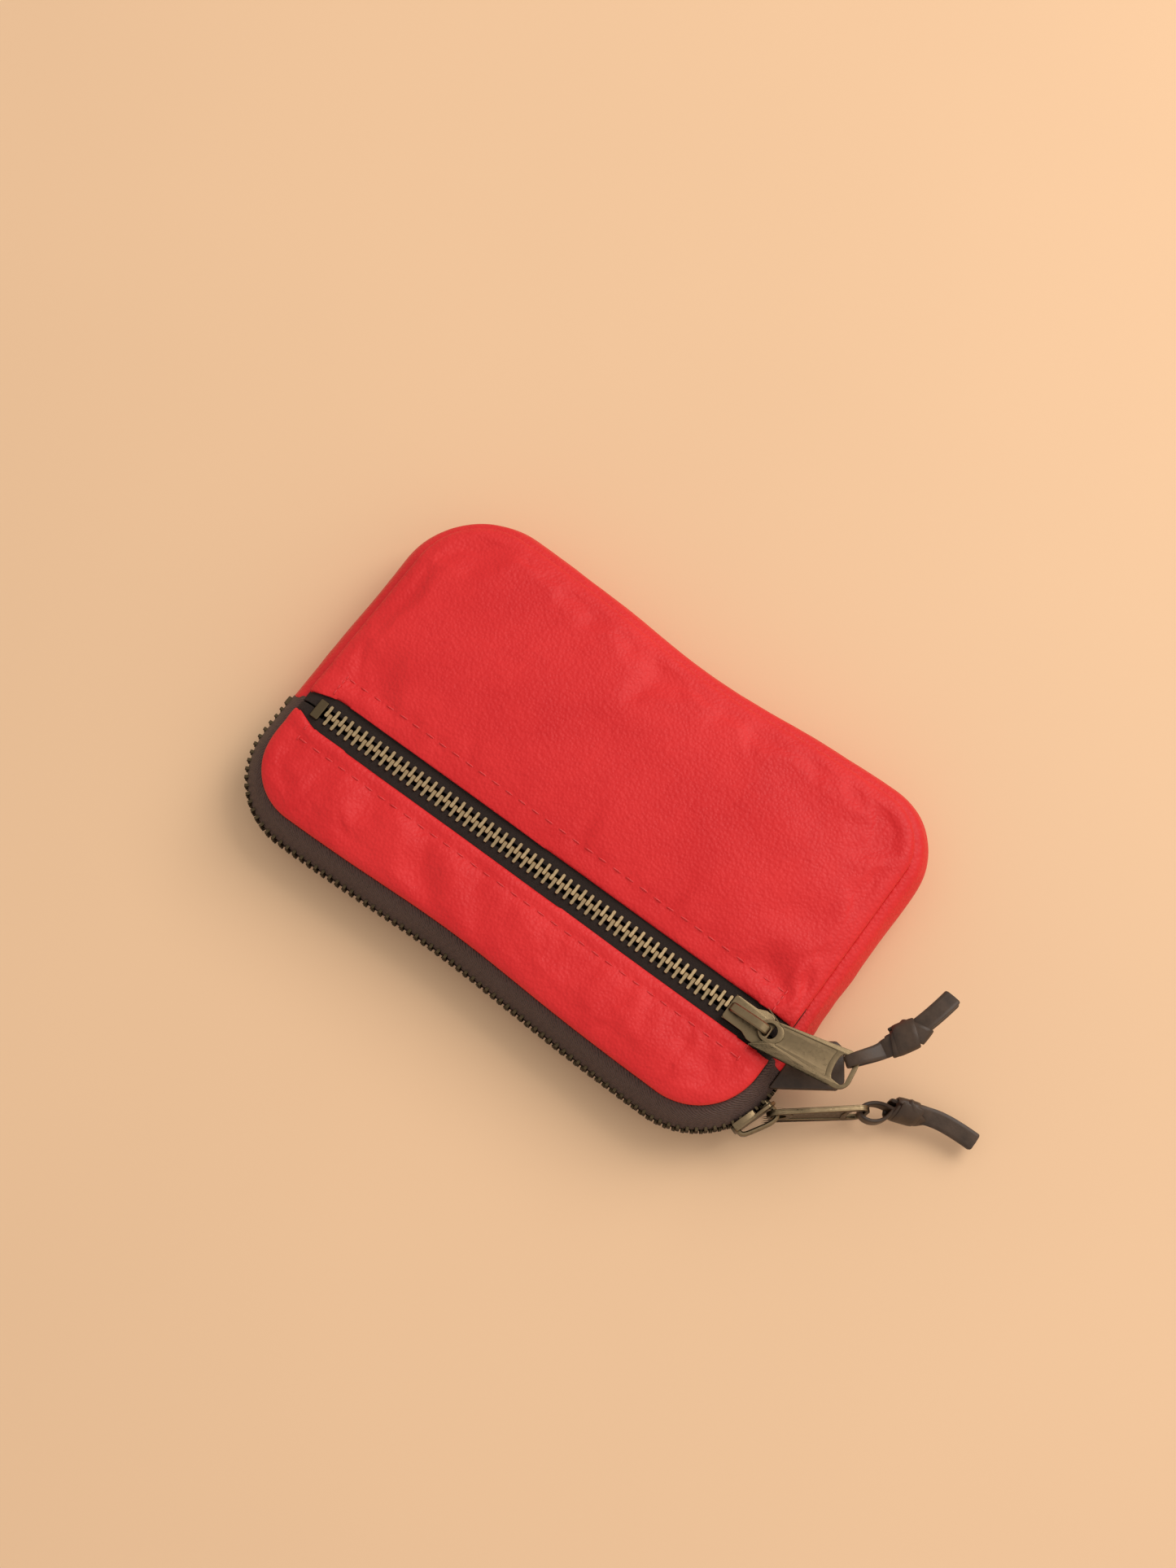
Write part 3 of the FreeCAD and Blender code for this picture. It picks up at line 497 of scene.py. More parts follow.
def red_leather(colours, look):
    """Soft grained leather: pebbles, fine pores and slow changes of tone."""
    made = Finish("Red grained leather", 0.5)
    made.shader.inputs["Specular IOR Level"].default_value = 0.34
    tone = made.noise(26 * MM, 4.0, 0.6)
    fine = made.noise(2.2 * MM, 4.0, 0.6)
    blend = made.ramp(made.sum(tone, fine, 0.35), (0.45, 0.0), (0.85, 1.0))
    colour = made.mixed(blend, tuple(colours.leather), tuple(colours.leather_worn))
    warped = made.noise(look.grain_size * 1.6, 2.0)
    pebble = made.pebbles(look.grain_size)
    creases = made.sum(pebble, warped, 0.8)
    pores = made.noise(look.grain_size * 0.28, 3.0, 0.65)
    normal = made.relief(creases, 0.20 * MM, 0.75)
    normal = made.relief(pores, 0.06 * MM, 0.5, normal)
    shine = made.ramp(made.sum(pebble, tone, 0.6), (0.2, 0.40), (0.9, 0.56))
    return made.finish(colour, normal, shine)


def woven_tape(name, colour, rib, shine):
    """Twill cotton tape whose ribs follow the piece's own surface."""
    made = Finish(name, shine)
    made.shader.inputs["Specular IOR Level"].default_value = 0.3
    surface = made.surface()
    slanted = made.stretched(surface, 1.0, 1.7, 1.0)
    twill = made.ribs(rib, slanted, 2.2)
    knots = made.noise(rib * 0.5, 2.0, 0.5, made.stretched(surface, 1.0, 0.55, 1.0))
    weave = made.sum(twill, knots, 1.1)
    tone = made.noise(9 * MM, 3.0)
    dark = darker(colour, 0.45)
    light = tuple(min(part * 1.45 + 0.004, 1.0) for part in colour)
    share = made.ramp(made.sum(weave, tone, 0.3), (0.5, 0.0), (0.95, 1.0))
    tint = made.mixed(share, dark, light)
    normal = made.relief(weave, 0.3 * MM, 0.9)
    return made.finish(tint, normal)


def aged_brass(colours, name, bright, rough):
    """Brass rubbed bright on top and dark with patina on its flanks; the mix follows how far
    each face turns up, so it also paints light on upward faces and shade on the flanks.
    """
    made = Finish(name, rough, 1.0)
    normal_way = made.node("ShaderNodeTexCoord").outputs["Normal"]
    apart = made.node("ShaderNodeSeparateXYZ")
    made.set(apart, Vector=normal_way)
    speckle = made.noise(0.9 * MM, 5.0, 0.65)
    # Share of bright brass by how far each face turns up: wear and patina, and with them
    # painted light on top faces and painted shade on the flanks.
    upward = made.sum(apart.outputs["Z"], speckle, 0.5)
    wear_and_painted_light = made.ramp(upward, (0.35, 0.0), (1.0, 1.0))
    low = darker(colours.patina, bright)
    high = darker(colours.brass, bright)
    colour = made.mixed(wear_and_painted_light, low, high)
    scratches = made.noise(0.35 * MM, 3.0, 0.6, made.stretched(made.place, 1, 5, 1))
    normal = made.relief(scratches, 0.03 * MM, 0.25)
    normal = made.relief(made.noise(1.4 * MM, 3.0), 0.08 * MM, 0.25, normal)
    shine = made.ramp(speckle, (0.3, rough - 0.1), (0.7, rough + 0.12))
    return made.finish(colour, normal, shine)


def thong_leather(colours, name, colour):
    """Dark waxed leather with a fine grain and a cool shine."""
    made = Finish(name, 0.42)
    made.shader.inputs["Specular IOR Level"].default_value = 0.32
    tone = made.noise(5 * MM, 4.0, 0.6)
    tint = made.mixed(
        made.ramp(tone, (0.35, 0.0), (0.7, 1.0)), darker(colour, 0.72), darker(colour, 1.3)
    )
    grain = made.sum(made.noise(0.5 * MM, 4.0, 0.6), made.pebbles(0.7 * MM), 0.5)
    normal = made.relief(grain, 0.06 * MM, 0.4)
    shine = made.ramp(tone, (0.3, 0.34), (0.75, 0.52))
    return made.finish(tint, normal, shine)


def plain_cloth(name, colour):
    """Fine woven lining."""
    made = Finish(name, 0.85)
    made.shader.inputs["Sheen Weight"].default_value = 0.3
    threads = made.noise(0.5 * MM, 2.0, 0.5, made.stretched(made.place, 1, 3, 1))
    cross = made.noise(0.5 * MM, 2.0, 0.5, made.stretched(made.place, 3, 1, 1))
    weave = made.sum(threads, cross, 1.0)
    share = made.ramp(weave, (0.7, 0.0), (1.0, 1.0))
    tint = made.mixed(share, darker(colour, 0.7), colour)
    return made.finish(tint, made.relief(weave, 0.1 * MM, 0.5))


def sewing_thread(colours):
    """Twisted polyester thread in the leather's colour."""
    made = Finish("Red sewing thread", 0.38)
    base = tuple(colours.leather_worn)
    twist = made.ribs(0.5 * MM, made.place, 0.5)
    tint = made.mixed(twist, darker(base, 0.75), tuple(min(c * 1.15, 1) for c in base))
    return made.finish(tint, made.relief(twist, 0.05 * MM, 0.6))


def backdrop_paper(colours):
    """Smooth painted board with a faint unevenness."""
    made = Finish("Peach backdrop", 0.72)
    base = tuple(colours.backdrop)
    tone = made.noise(260 * MM, 3.0, 0.5)
    share = made.ramp(tone, (0.3, 0.0), (0.7, 1.0))
    tint = made.mixed(share, darker(base, 0.96), base)
    return made.finish(tint, made.relief(made.noise(3 * MM, 4.0), 0.05 * MM, 0.15))


def finish_named(context, key):
    """Each finish is made once and shared by its pieces."""
    colours = context.scene.pouch_colours
    look = context.scene.pouch_look
    if key not in FINISHES:
        recipes = {
            "red_leather": lambda: red_leather(colours, look),
            "pocket_tape": lambda: woven_tape(
                "Pocket zipper tape", tuple(colours.pocket_tape), 0.7 * MM, 0.8
            ),
            "main_tape": lambda: woven_tape(
                "Main zipper tape", tuple(colours.main_tape), 1.5 * MM, 0.55
            ),
            "teeth": lambda: aged_brass(colours, "Aged brass teeth", 1.0, 0.36),
            # The side teeth get brass at a quarter of its brightness: painted shade for the
            # chain that faces out and down, away from the light.
            "shaded_side_teeth": lambda: aged_brass(colours, "Brass teeth darkened as painted shade", 0.24, 0.55),
            "metal": lambda: aged_brass(colours, "Aged brass slider", 0.5, 0.34),
            "thong": lambda: thong_leather(colours, "Thong leather", tuple(colours.thong)),
            "cut_edge": lambda: thong_leather(
                colours, "Cut thong edge", tuple(colours.cut_edge)
            ),
            "lining": lambda: plain_cloth("Lining cloth", (0.07, 0.045, 0.035)),
            "thread": lambda: sewing_thread(colours),
            "backdrop": lambda: backdrop_paper(colours),
        }
        FINISHES[key] = recipes[key]()
    return FINISHES[key]


FINISHES = {}


def dress(thing, *materials):
    thing.data.materials.clear()
    for material in materials:
        thing.data.materials.append(material)


# ------------------------------------------------------- soft leather panels

# Soft folds of the front, listed: start, end, half width and depth.
FRONT_FOLDS = [
    ((0.0757, -0.0030), (0.0800, -0.0105), 0.0017, 0.00130),
    ((0.0800, -0.0105), (0.0775, -0.0160), 0.0015, 0.00090),
    ((0.0640, -0.0050), (0.0735, -0.0115), 0.0030, 0.00070),
    ((0.0560, 0.0040), (0.0700, 0.0110), 0.0045, 0.00050),
    ((-0.0290, -0.0330), (-0.0170, -0.0470), 0.0040, 0.00060),
    ((-0.0130, -0.0340), (-0.0010, -0.0460), 0.0042, 0.00055),
    ((-0.0480, -0.0330), (-0.0420, -0.0430), 0.0045, 0.00055),
    ((-0.0640, -0.0320), (-0.0600, -0.0400), 0.0040, 0.00045),
    ((0.0180, -0.0370), (0.0300, -0.0480), 0.0050, 0.00035),
    ((0.0560, -0.0350), (0.0690, -0.0400), 0.0030, 0.00050),
    ((0.0420, 0.0380), (0.0700, 0.0300), 0.0060, 0.00050),
    ((-0.0600, 0.0200), (-0.0300, 0.0330), 0.0080, 0.00045),
    ((-0.0740, -0.0120), (-0.0600, 0.0060), 0.0055, 0.00045),
]


def fold_height(flat, folds):
    """Sum of soft creases: a valley with a low ridge on each side."""
    height = 0.0
    for start, end, width, depth in folds:
        first, run = Vector(start), Vector(end) - Vector(start)
        t = (flat.xy - first).dot(run) / run.length_squared
        clamped = min(max(t, 0.0), 1.0)
        away = (flat.xy - first - run * clamped).length / width
        if away < 5:
            valley = math.exp(-away * away) - 0.42 * math.exp(-((away - 1.9) ** 2))
            height -= depth * valley * (0.55 + 0.45 * math.sin(math.pi * clamped))
    return height


class FrontPanel:
    """How the front leather lies: arched where it is filled, flat round the
    slot, grooved along the stitches and tucked down into the seam."""

    def __init__(self, sizes, look):
        self.sizes = sizes
        self.rise = sizes.height - sizes.front_seam
        self.shoulder = 5 * MM
        self.radius = (self.shoulder**2 + self.rise**2) / (2 * self.rise)
        self.rows = (SLOT_BOX[1] + sizes.upper_stitches, SLOT_BOX[0] - sizes.lower_stitches)

    def from_slot(self, y):
        return max(y - SLOT_BOX[1], SLOT_BOX[0] - y)

    def drop(self, depth):
        """How far the shoulder falls at this depth from the seam."""
        reach = max(self.shoulder - depth, 0.0)
        return self.radius - math.sqrt(self.radius**2 - reach**2)

    def place(self, flat, depth, outward):
        drop = self.drop(depth)
        away = self.from_slot(flat.y)
        arch = self.sizes.arch * smooth(depth, 2 * MM, 26 * MM)
        arch *= smooth(away, 2 * MM, 22 * MM)
        roll = 0.55 * MM * math.sin(math.pi * min(depth / (3.4 * MM), 1.0))
        tuck = max(1 - depth / (1.5 * MM), 0.0) ** 1.6
        point = flat + outward * (roll - 1.0 * MM * tuck)
        point.z = self.sizes.height - drop + arch - 1.1 * MM * tuck
        return point

    def closing(self, point):
        """The slot narrows toward its far end, under the bottom stop."""
        away = self.from_slot(point.y)
        share = smooth(-point.x, 70 * MM, 80 * MM) * (1 - smooth(away, 0, 14 * MM))
        return -math.copysign(2.3 * MM * share, point.y - sum(SLOT_BOX) / 2)

    def detail(self, point, depth):
        """Small relief added once the leather has settled."""
        fade = smooth(depth, 0.8 * MM, 5 * MM)
        height = fold_height(point, FRONT_FOLDS) * fade
        wave = noise.noise(Vector((point.x / 0.021, point.y / 0.015, 3.1)))
        height += 0.30 * MM * wave * smooth(depth, 2 * MM, 12 * MM)
        ripple = noise.noise(Vector((point.x / 0.0065, point.y / 0.0085, 7.7)))
        height += 0.10 * MM * ripple * smooth(depth, 1 * MM, 6 * MM)
        seam_pucker = math.sin((point.x + point.y * 1.02) / (2.05 * MM))
        height += 0.07 * MM * seam_pucker * math.exp(-(((depth - 2 * MM) / (1.4 * MM)) ** 2))
        away = self.from_slot(point.y)
        row = self.rows[0] if point.y > SLOT_BOX[1] else self.rows[1]
        offset = abs(point.y - row)
        pull = 0.7 + 0.3 * math.cos(2 * math.pi * point.x / self.sizes.stitch_pitch)
        height -= 0.34 * MM * pull * math.exp(-((offset / (0.85 * MM)) ** 2))
        span = self.from_slot(row)
        if away < span:
            height += 0.30 * MM * math.sin(math.pi * away / span) ** 1.5
        height -= 0.45 * MM * max(1 - away / (0.9 * MM), 0.0) ** 2
        return height


def settle_leather(thing, freedom, look):
    """Lets the sheet's pressure arch and wrinkle it between its seams, as
    cloth, then eases the move to nothing at the seams and caps it. freedom
    is 0 where a point is sewn and 1 far from any seam."""
    before = [vertex.co.copy() for vertex in thing.data.vertices]
    group = thing.vertex_groups.new(name="sewn")
    pinned = [index for index, share in enumerate(freedom) if share == 0]
    group.add(pinned, 1.0, "REPLACE")
    cloth = thing.modifiers.new("Settle", "CLOTH")
    values = cloth.settings
    values.quality = 6
    values.mass = 0.25
    values.tension_stiffness = 18
    values.compression_stiffness = 12
    values.shear_stiffness = 8
    values.bending_stiffness = 1.6
    values.use_pressure = True
    values.uniform_pressure_force = 2.2
    values.shrink_min = -0.012
    values.vertex_group_mass = group.name
    values.effector_weights.gravity = 0.0
    cloth.collision_settings.use_collision = False
    scene = bpy.context.scene
    cloth.point_cache.frame_start = 1
    cloth.point_cache.frame_end = look.cloth_frames
    for step in range(1, look.cloth_frames + 1):
        scene.frame_set(step)
    mesh = settled(thing)
    after = [vertex.co.copy() for vertex in mesh.vertices]
    thing.modifiers.remove(cloth)
    scene.frame_set(1)
    bpy.data.meshes.remove(mesh)
    thing.vertex_groups.clear()
    for vertex, old, new, share in zip(thing.data.vertices, before, after, freedom):
        move = (new - old) * share
        if move.length > look.cloth_cap:
            move *= look.cloth_cap / move.length
        vertex.co = old + move


def cut_band(name, points, faces, low, high):
    """The part of a grid between two Y positions, with clean cut edges."""
    whole = bmesh.new()
    made = [whole.verts.new(point) for point in points]
    for face in faces:
        whole.faces.new([made[index] for index in face])
    for place, way in ((low, -1), (high, 1)):
        if place is not None:
            bmesh.ops.bisect_plane(
                whole,
                geom=whole.verts[:] + whole.edges[:] + whole.faces[:],
                plane_co=(0, place, 0),
                plane_no=(0, way, 0),
                clear_outer=True,
            )
    mesh = mesh_of(whole, name)
    thing = new_object(name, mesh)
    return thing


class POUCH_OT_front_panels(bpy.types.Operator):
    """Makes the two leather panels of the front, above and below the slot"""

    bl_idname = "pouch.front_panels"
    bl_label = "Front Panels"

    def execute(self, context):
        sizes, look = context.scene.pouch_sizes, context.scene.pouch_look
        outline = SeamOutline(sizes)
        panel = FrontPanel(sizes, look)
        points, faces = panel_grid(outline, look, panel.place)
        tree, feet = seam_tree(outline)
        for name, low, high in (
            ("front_leather_upper", SLOT_BOX[1], None),
            ("front_leather_lower", None, SLOT_BOX[0]),
        ):
            thing = cut_band(name, points, faces, low, high)
            depths = []
            for vertex in thing.data.vertices:
                flat = Vector((vertex.co.x, vertex.co.y, 0))
                nearest, outward = feet[tree.find(flat)[1]]
                depths.append(max((nearest - flat).dot(outward), 0.0))
            freedom = [
                smooth(depth, 1.5 * MM, 9 * MM)
                * smooth(panel.from_slot(vertex.co.y), 1.5 * MM, 8 * MM)
                for vertex, depth in zip(thing.data.vertices, depths)
            ]
            settle_leather(thing, freedom, look)
            for vertex, depth in zip(thing.data.vertices, depths):
                vertex.co.z += panel.detail(vertex.co, depth)
                vertex.co.y += panel.closing(vertex.co)
            thicken(thing, sizes.leather)
            shade_smooth(thing)
            dress(thing, finish_named(context, "red_leather"))
            part = name.replace("leather_", "")
            cloth = part + "_cloth"
            line_inside(context, thing, cloth, "lining_" + part, sizes.leather)
            hand_over(thing, "pouch", name.replace("leather", "panel"))
        return {"FINISHED"}


class POUCH_OT_back_panel(bpy.types.Operator):
    """Makes the leather panel that the pouch lies on"""

    bl_idname = "pouch.back_panel"
    bl_label = "Back Panel"

    def execute(self, context):
        sizes, look = context.scene.pouch_sizes, context.scene.pouch_look
        outline = SeamOutline(sizes)
        shoulder = 6 * MM
        rise = sizes.back_seam
        radius = (shoulder**2 + rise**2) / (2 * rise)

        def place(flat, depth, outward):
            lift = 0.0
            if depth < shoulder:
                lift = radius - math.sqrt(radius**2 - (shoulder - depth) ** 2)
            wave = noise.noise(Vector((flat.x / 0.024, flat.y / 0.018, 11.3)))
            lift += 0.45 * MM * max(wave, 0.0) * smooth(depth, 1 * MM, 9 * MM)
            tuck = max(1 - depth / (1.0 * MM), 0.0) ** 2
            point = flat + outward * (0.1 - 0.85 * tuck) * MM
            point.z = lift + 0.5 * MM * tuck
            return point

        points, faces = panel_grid(outline, look, place)
        flipped = [face[::-1] for face in faces]
        thing = add_object("back_leather", points, flipped)
        thicken(thing, sizes.leather, 0)
        shade_smooth(thing)
        dress(thing, finish_named(context, "red_leather"))
        line_inside(context, thing, "back_cloth", "lining_back", sizes.leather)
        hand_over(thing, "pouch", "back_panel")
        return {"FINISHED"}


def side_offset(sizes, height):
    """How far the sides stand out from the seam at this height."""
    half = (sizes.front_seam - sizes.back_seam) / 2
    radius = (half**2 + sizes.side_bulge**2) / (2 * sizes.side_bulge)
    middle = (sizes.front_seam + sizes.back_seam) / 2
    away = min(abs(height - middle), half)
    return math.sqrt(radius**2 - away**2) - radius + sizes.side_bulge


def side_strip(name, outline, start, end, step, heights, offset):
    """A strip along the outline. offset gives how far it stands out at each
    distance and height. Its surface is measured in a UV map, in metres."""
    columns = max(int((end - start) / step), 2)
    rows = len(heights) - 1
    points, measures = [], []
    for row, height in enumerate(heights):
        for column in range(columns + 1):
            distance = start + (end - start) * column / columns
            foot, outward = outline.foot(distance)
            out, lift = offset(distance, height)
            point = foot + outward * out
            point.z = height + lift
            points.append(point)
            measures.append((distance, height))
    thing = add_object(name, points, grid_faces(columns, rows))
    measure_surface(thing, measures)
    return thing


def crowded_heights(low, high, count):
    return [low + (high - low) * eased(i / count, 0.6) for i in range(count + 1)]


class POUCH_OT_gusset(bpy.types.Operator):
    """Makes the leather strip round the two ends and the folded long side"""

    bl_idname = "pouch.gusset"
    bl_label = "Gusset"

    def execute(self, context):
        sizes = context.scene.pouch_sizes
        outline = SeamOutline(sizes)
        start = outline.on_right(sizes.main_zip_right)
        end = outline.on_left(sizes.main_zip_left)

        def offset(distance, height):
            edge = min(sizes.front_seam - height, height - sizes.back_seam)
            tuck = max(1 - edge / (1.4 * MM), 0.0) ** 1.6
            out = side_offset(sizes, height) - 1.0 * MM * tuck
            inner = smooth(edge, 0.5 * MM, 5 * MM)
            wave = noise.noise(Vector((distance / 0.017, height / 0.011, 5.0)))
            near_end = math.exp(-(((distance - start) / (30 * MM)) ** 2))
            out += 0.5 * MM * wave * inner * (0.6 + near_end)
            ripple = noise.noise(Vector((distance / 0.006, height / 0.009, 9.0)))
            out += 0.3 * MM * ripple * inner * (0.3 + 1.2 * near_end)
            out += 0.3 * MM * math.sin(math.pi * min(edge / (3.6 * MM), 1.0))
            return out, -0.45 * MM * tuck * (1 if height > 0.01 else -1)

        heights = crowded_heights(sizes.back_seam, sizes.front_seam, 24)
        thing = side_strip("gusset_leather", outline, start, end, 1.2 * MM, heights, offset)
        thicken(thing, sizes.leather)
        shade_smooth(thing)
        dress(thing, finish_named(context, "red_leather"))
        line_inside(context, thing, "gusset_cloth", "lining_gusset", sizes.leather)
        hand_over(thing, "pouch", "gusset_strip")
        return {"FINISHED"}


class POUCH_OT_tapes(bpy.types.Operator):
    """Makes the woven tapes of both zippers"""

    bl_idname = "pouch.tapes"
    bl_label = "Zipper Tapes"

    def execute(self, context):
        sizes = context.scene.pouch_sizes
        outline = SeamOutline(sizes)
        start = outline.on_left(sizes.main_zip_left) - 1.5 * MM
        end = outline.total + outline.on_right(sizes.main_zip_right) + 1.5 * MM
        middle = (sizes.front_seam + sizes.back_seam) / 2
        gap = 1.5 * MM

        def offset(distance, height):
            edge = min(sizes.front_seam - height, height - sizes.back_seam)
            tuck = max(1 - edge / (1.0 * MM), 0.0) ** 2
            out = side_offset(sizes, height) - 0.8 * MM * tuck - 0.15 * MM
            from_chain = abs(height - middle) - gap
            out += 0.3 * MM * math.exp(-((from_chain / (0.9 * MM)) ** 2))
            wave = noise.noise(Vector((distance / 0.02, height / 0.02, 2.0)))
            out += 0.35 * MM * wave * smooth(edge, 0, 4 * MM)
            return out, 0.0

        for name, node, low, high in (
            ("main_tape_front_cloth", "main_tape_front", middle + gap, sizes.front_seam),
            ("main_tape_back_cloth", "main_tape_back", sizes.back_seam, middle - gap),
        ):
            heights = crowded_heights(low, high, 12)
            thing = side_strip(name, outline, start, end, 1.2 * MM, heights, offset)
            thicken(thing, 0.8 * MM)
            shade_smooth(thing)
            dress(thing, finish_named(context, "main_tape"))
            hand_over(thing, "pouch", node)
        self.pocket_tapes(context)
        return {"FINISHED"}

    def pocket_tapes(self, context):
        panel = FrontPanel(context.scene.pouch_sizes, context.scene.pouch_look)
        line = sum(SLOT_BOX) / 2
        seam = context.scene.pouch_sizes.length / 2
        half = seam - 0.4 * MM
        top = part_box("pocket_tape_upper")[1].z
        columns, rows = 150, 10
        for name, node, side in (
            ("pocket_tape_upper_cloth", "pocket_tape_upper", 1),
            ("pocket_tape_lower_cloth", "pocket_tape_lower", -1),
        ):
            points, measures = [], []
            for row in range(rows + 1):
                for column in range(columns + 1):
                    x = -half + 2 * half * eased(column / columns)
                    gap = 1.6 * MM - 1.4 * MM * smooth(abs(x), 72.9 * MM, 76 * MM)
                    across = gap + (12.4 * MM - gap) * (row / rows) ** 1.4
                    wave = noise.noise(Vector((x / 0.018, across / 0.01, side * 4.0)))
                    bead = math.exp(-(((across - 2.4 * MM) / (0.8 * MM)) ** 2))
                    z = top + 0.22 * MM * bead + 0.15 * MM * min(wave, 0.3)
                    z -= panel.drop(seam - abs(x))
                    points.append(Vector((x, line + side * across, z)))
                    measures.append((x, side * across))
            faces = grid_faces(columns, rows, flip=side < 0)
            thing = add_object(name, points, faces)
            measure_surface(thing, measures)
            thicken(thing, 0.6 * MM)
            shade_smooth(thing)
            dress(thing, finish_named(context, "pocket_tape"))
            hand_over(thing, "pouch", node)


# ---------------------------------------------- what repeats along a path


def line_object(name, points):
    """A plain polyline as a curve object."""
    curve = bpy.data.curves.new(name, "CURVE")
    curve.dimensions = "3D"
    spline = curve.splines.new("POLY")
    spline.points.add(len(points) - 1)
    for made, point in zip(spline.points, points):
        made.co = (*point, 1.0)
    thing = new_object(name, curve)
    return thing


def row_tree():
    """Sets copies of a piece along a curve at an even spacing, each turned to
    the curve and a little unlike its neighbours."""
    if "Row along a path" in bpy.data.node_groups:
        return bpy.data.node_groups["Row along a path"]
    tree = bpy.data.node_groups.new("Row along a path", "GeometryNodeTree")
    face = tree.interface
    face.new_socket("Path", in_out="INPUT", socket_type="NodeSocketGeometry")
    face.new_socket("Piece", in_out="INPUT", socket_type="NodeSocketObject")
    face.new_socket("Spacing", in_out="INPUT", socket_type="NodeSocketFloat")
    face.new_socket("Unevenness", in_out="INPUT", socket_type="NodeSocketFloat")
    face.new_socket("Finish", in_out="INPUT", socket_type="NodeSocketMaterial")
    face.new_socket("Row", in_out="OUTPUT", socket_type="NodeSocketGeometry")
    add, link = tree.nodes.new, tree.links.new
    given = add("NodeGroupInput")
    spaced = add("GeometryNodeResampleCurve")
    spaced.mode = "LENGTH"
    tangent = add("GeometryNodeInputTangent")
    turn = add("FunctionNodeAlignRotationToVector")
    turn.axis = "X"
    turn.pivot_axis = "Z"
    wobble = add("FunctionNodeRandomValue")
    wobble.data_type = "FLOAT_VECTOR"
    wobble.inputs["Seed"].default_value = 7
    less = add("ShaderNodeVectorMath")
    less.operation = "SCALE"
    less.inputs[0].default_value = (-1, -1, -1)
    turned = add("FunctionNodeRotateRotation")
    turned.rotation_space = "LOCAL"
    euler = add("FunctionNodeEulerToRotation")
    spread = add("ShaderNodeVectorMath")
    spread.operation = "SCALE"
    spread.inputs[0].default_value = (1, 1, 1)
    source = add("GeometryNodeObjectInfo")
    copies = add("GeometryNodeInstanceOnPoints")
    real = add("GeometryNodeRealizeInstances")
    painted = add("GeometryNodeSetMaterial")
    result = add("NodeGroupOutput")
    link(given.outputs["Path"], spaced.inputs["Curve"])
    link(given.outputs["Spacing"], spaced.inputs["Length"])
    link(given.outputs["Piece"], source.inputs["Object"])
    link(tangent.outputs["Tangent"], turn.inputs["Vector"])
    link(given.outputs["Unevenness"], less.inputs["Scale"])
    link(given.outputs["Unevenness"], spread.inputs["Scale"])
    link(less.outputs[0], wobble.inputs["Min"])
    link(spread.outputs[0], wobble.inputs["Max"])
    link(wobble.outputs["Value"], euler.inputs["Euler"])
    link(turn.outputs["Rotation"], turned.inputs["Rotation"])
    link(euler.outputs["Rotation"], turned.inputs["Rotate By"])
    link(spaced.outputs["Curve"], copies.inputs["Points"])
    link(source.outputs["Geometry"], copies.inputs["Instance"])
    link(turned.outputs["Rotation"], copies.inputs["Rotation"])
    link(copies.outputs["Instances"], real.inputs["Geometry"])
    link(real.outputs["Geometry"], painted.inputs["Geometry"])
    link(given.outputs["Finish"], painted.inputs["Material"])
    link(painted.outputs["Geometry"], result.inputs["Row"])
    return tree


def row_along(name, path_points, piece, spacing, unevenness, material):
    """A plain mesh of copies of piece along the path."""
    path = line_object(name + "_path", path_points)
    tree = row_tree()
    rows = path.modifiers.new("Row", "NODES")
    rows.node_group = tree
    values = {"Piece": piece, "Spacing": spacing, "Unevenness": unevenness, "Finish": material}
    for item in tree.interface.items_tree:
        if item.in_out == "INPUT" and item.name in values:
            rows[item.identifier] = values[item.name]
    mesh = settled(path)
    mesh.name = name
    thing = new_object(name, mesh)
    remove(path)
    shade_smooth(thing, 32)
    dress(thing, material)
    return thing


def joined(name, things):
    """One object from several, each already a plain mesh in place."""
    whole = bmesh.new()
    for thing in things:
        whole.from_mesh(thing.data)
    material = things[0].data.materials[0]
    mesh = mesh_of(whole, name)
    for thing in things:
        remove(thing)
    made = new_object(name, mesh)
    dress(made, material)
    shade_smooth(made, 32)
    return made


def prism(outline, low, high, bevel):
    """A bevelled prism of an outline, as a new bmesh."""
    whole = bmesh.new()
    base = [whole.verts.new((x, y, low)) for x, y in outline]
    face = whole.faces.new(base)
    raised = bmesh.ops.extrude_face_region(whole, geom=[face])
    top = [v for v in raised["geom"] if isinstance(v, bmesh.types.BMVert)]
    bmesh.ops.translate(whole, verts=top, vec=(0, 0, high - low))
    bmesh.ops.recalc_face_normals(whole, faces=whole.faces[:])
    if bevel:
        bmesh.ops.bevel(
            whole,
            geom=whole.edges[:],
            offset=bevel,
            segments=1,
            affect="EDGES",
            profile=0.5,
        )
    return whole


def tooth_piece(name, side, upright):
    """One tooth: split legs clamped on the tape, a waist and a scooped head.
    side is where its tape is, upright for the chain round the sides."""
    outline = [
        (-0.42, 2.9),
        (-0.52, 2.2),
        (-0.44, 1.2),
        (-0.55, 0.55),
        (-0.52, -0.45),
        (-0.3, -0.7),
        (0.3, -0.7),
        (0.52, -0.45),
        (0.55, 0.55),
        (0.44, 1.2),
        (0.52, 2.2),
        (0.42, 2.9),
    ]
    shape = [(x * MM, side * y * MM) for x, y in outline]
    whole = prism(shape, -1.2 * MM, 1.2 * MM, 0.12 * MM)
    for vertex in whole.verts:
        across = vertex.co.y * side / MM
        if abs(vertex.co.z) > 0.9 * MM:
            dip = 0.22 * math.exp(-(((across - 1.25) / 0.6) ** 2))
            dip += 0.25 * smooth(across, 2.2, 3.0)
            vertex.co.z -= math.copysign(dip * MM, vertex.co.z)
    if upright:
        quarter = Matrix.Rotation(math.pi / 2, 4, "X")
        bmesh.ops.transform(whole, matrix=quarter, verts=whole.verts[:])
    mesh = mesh_of(whole, name)
    thing = new_object(name, mesh)
    return thing


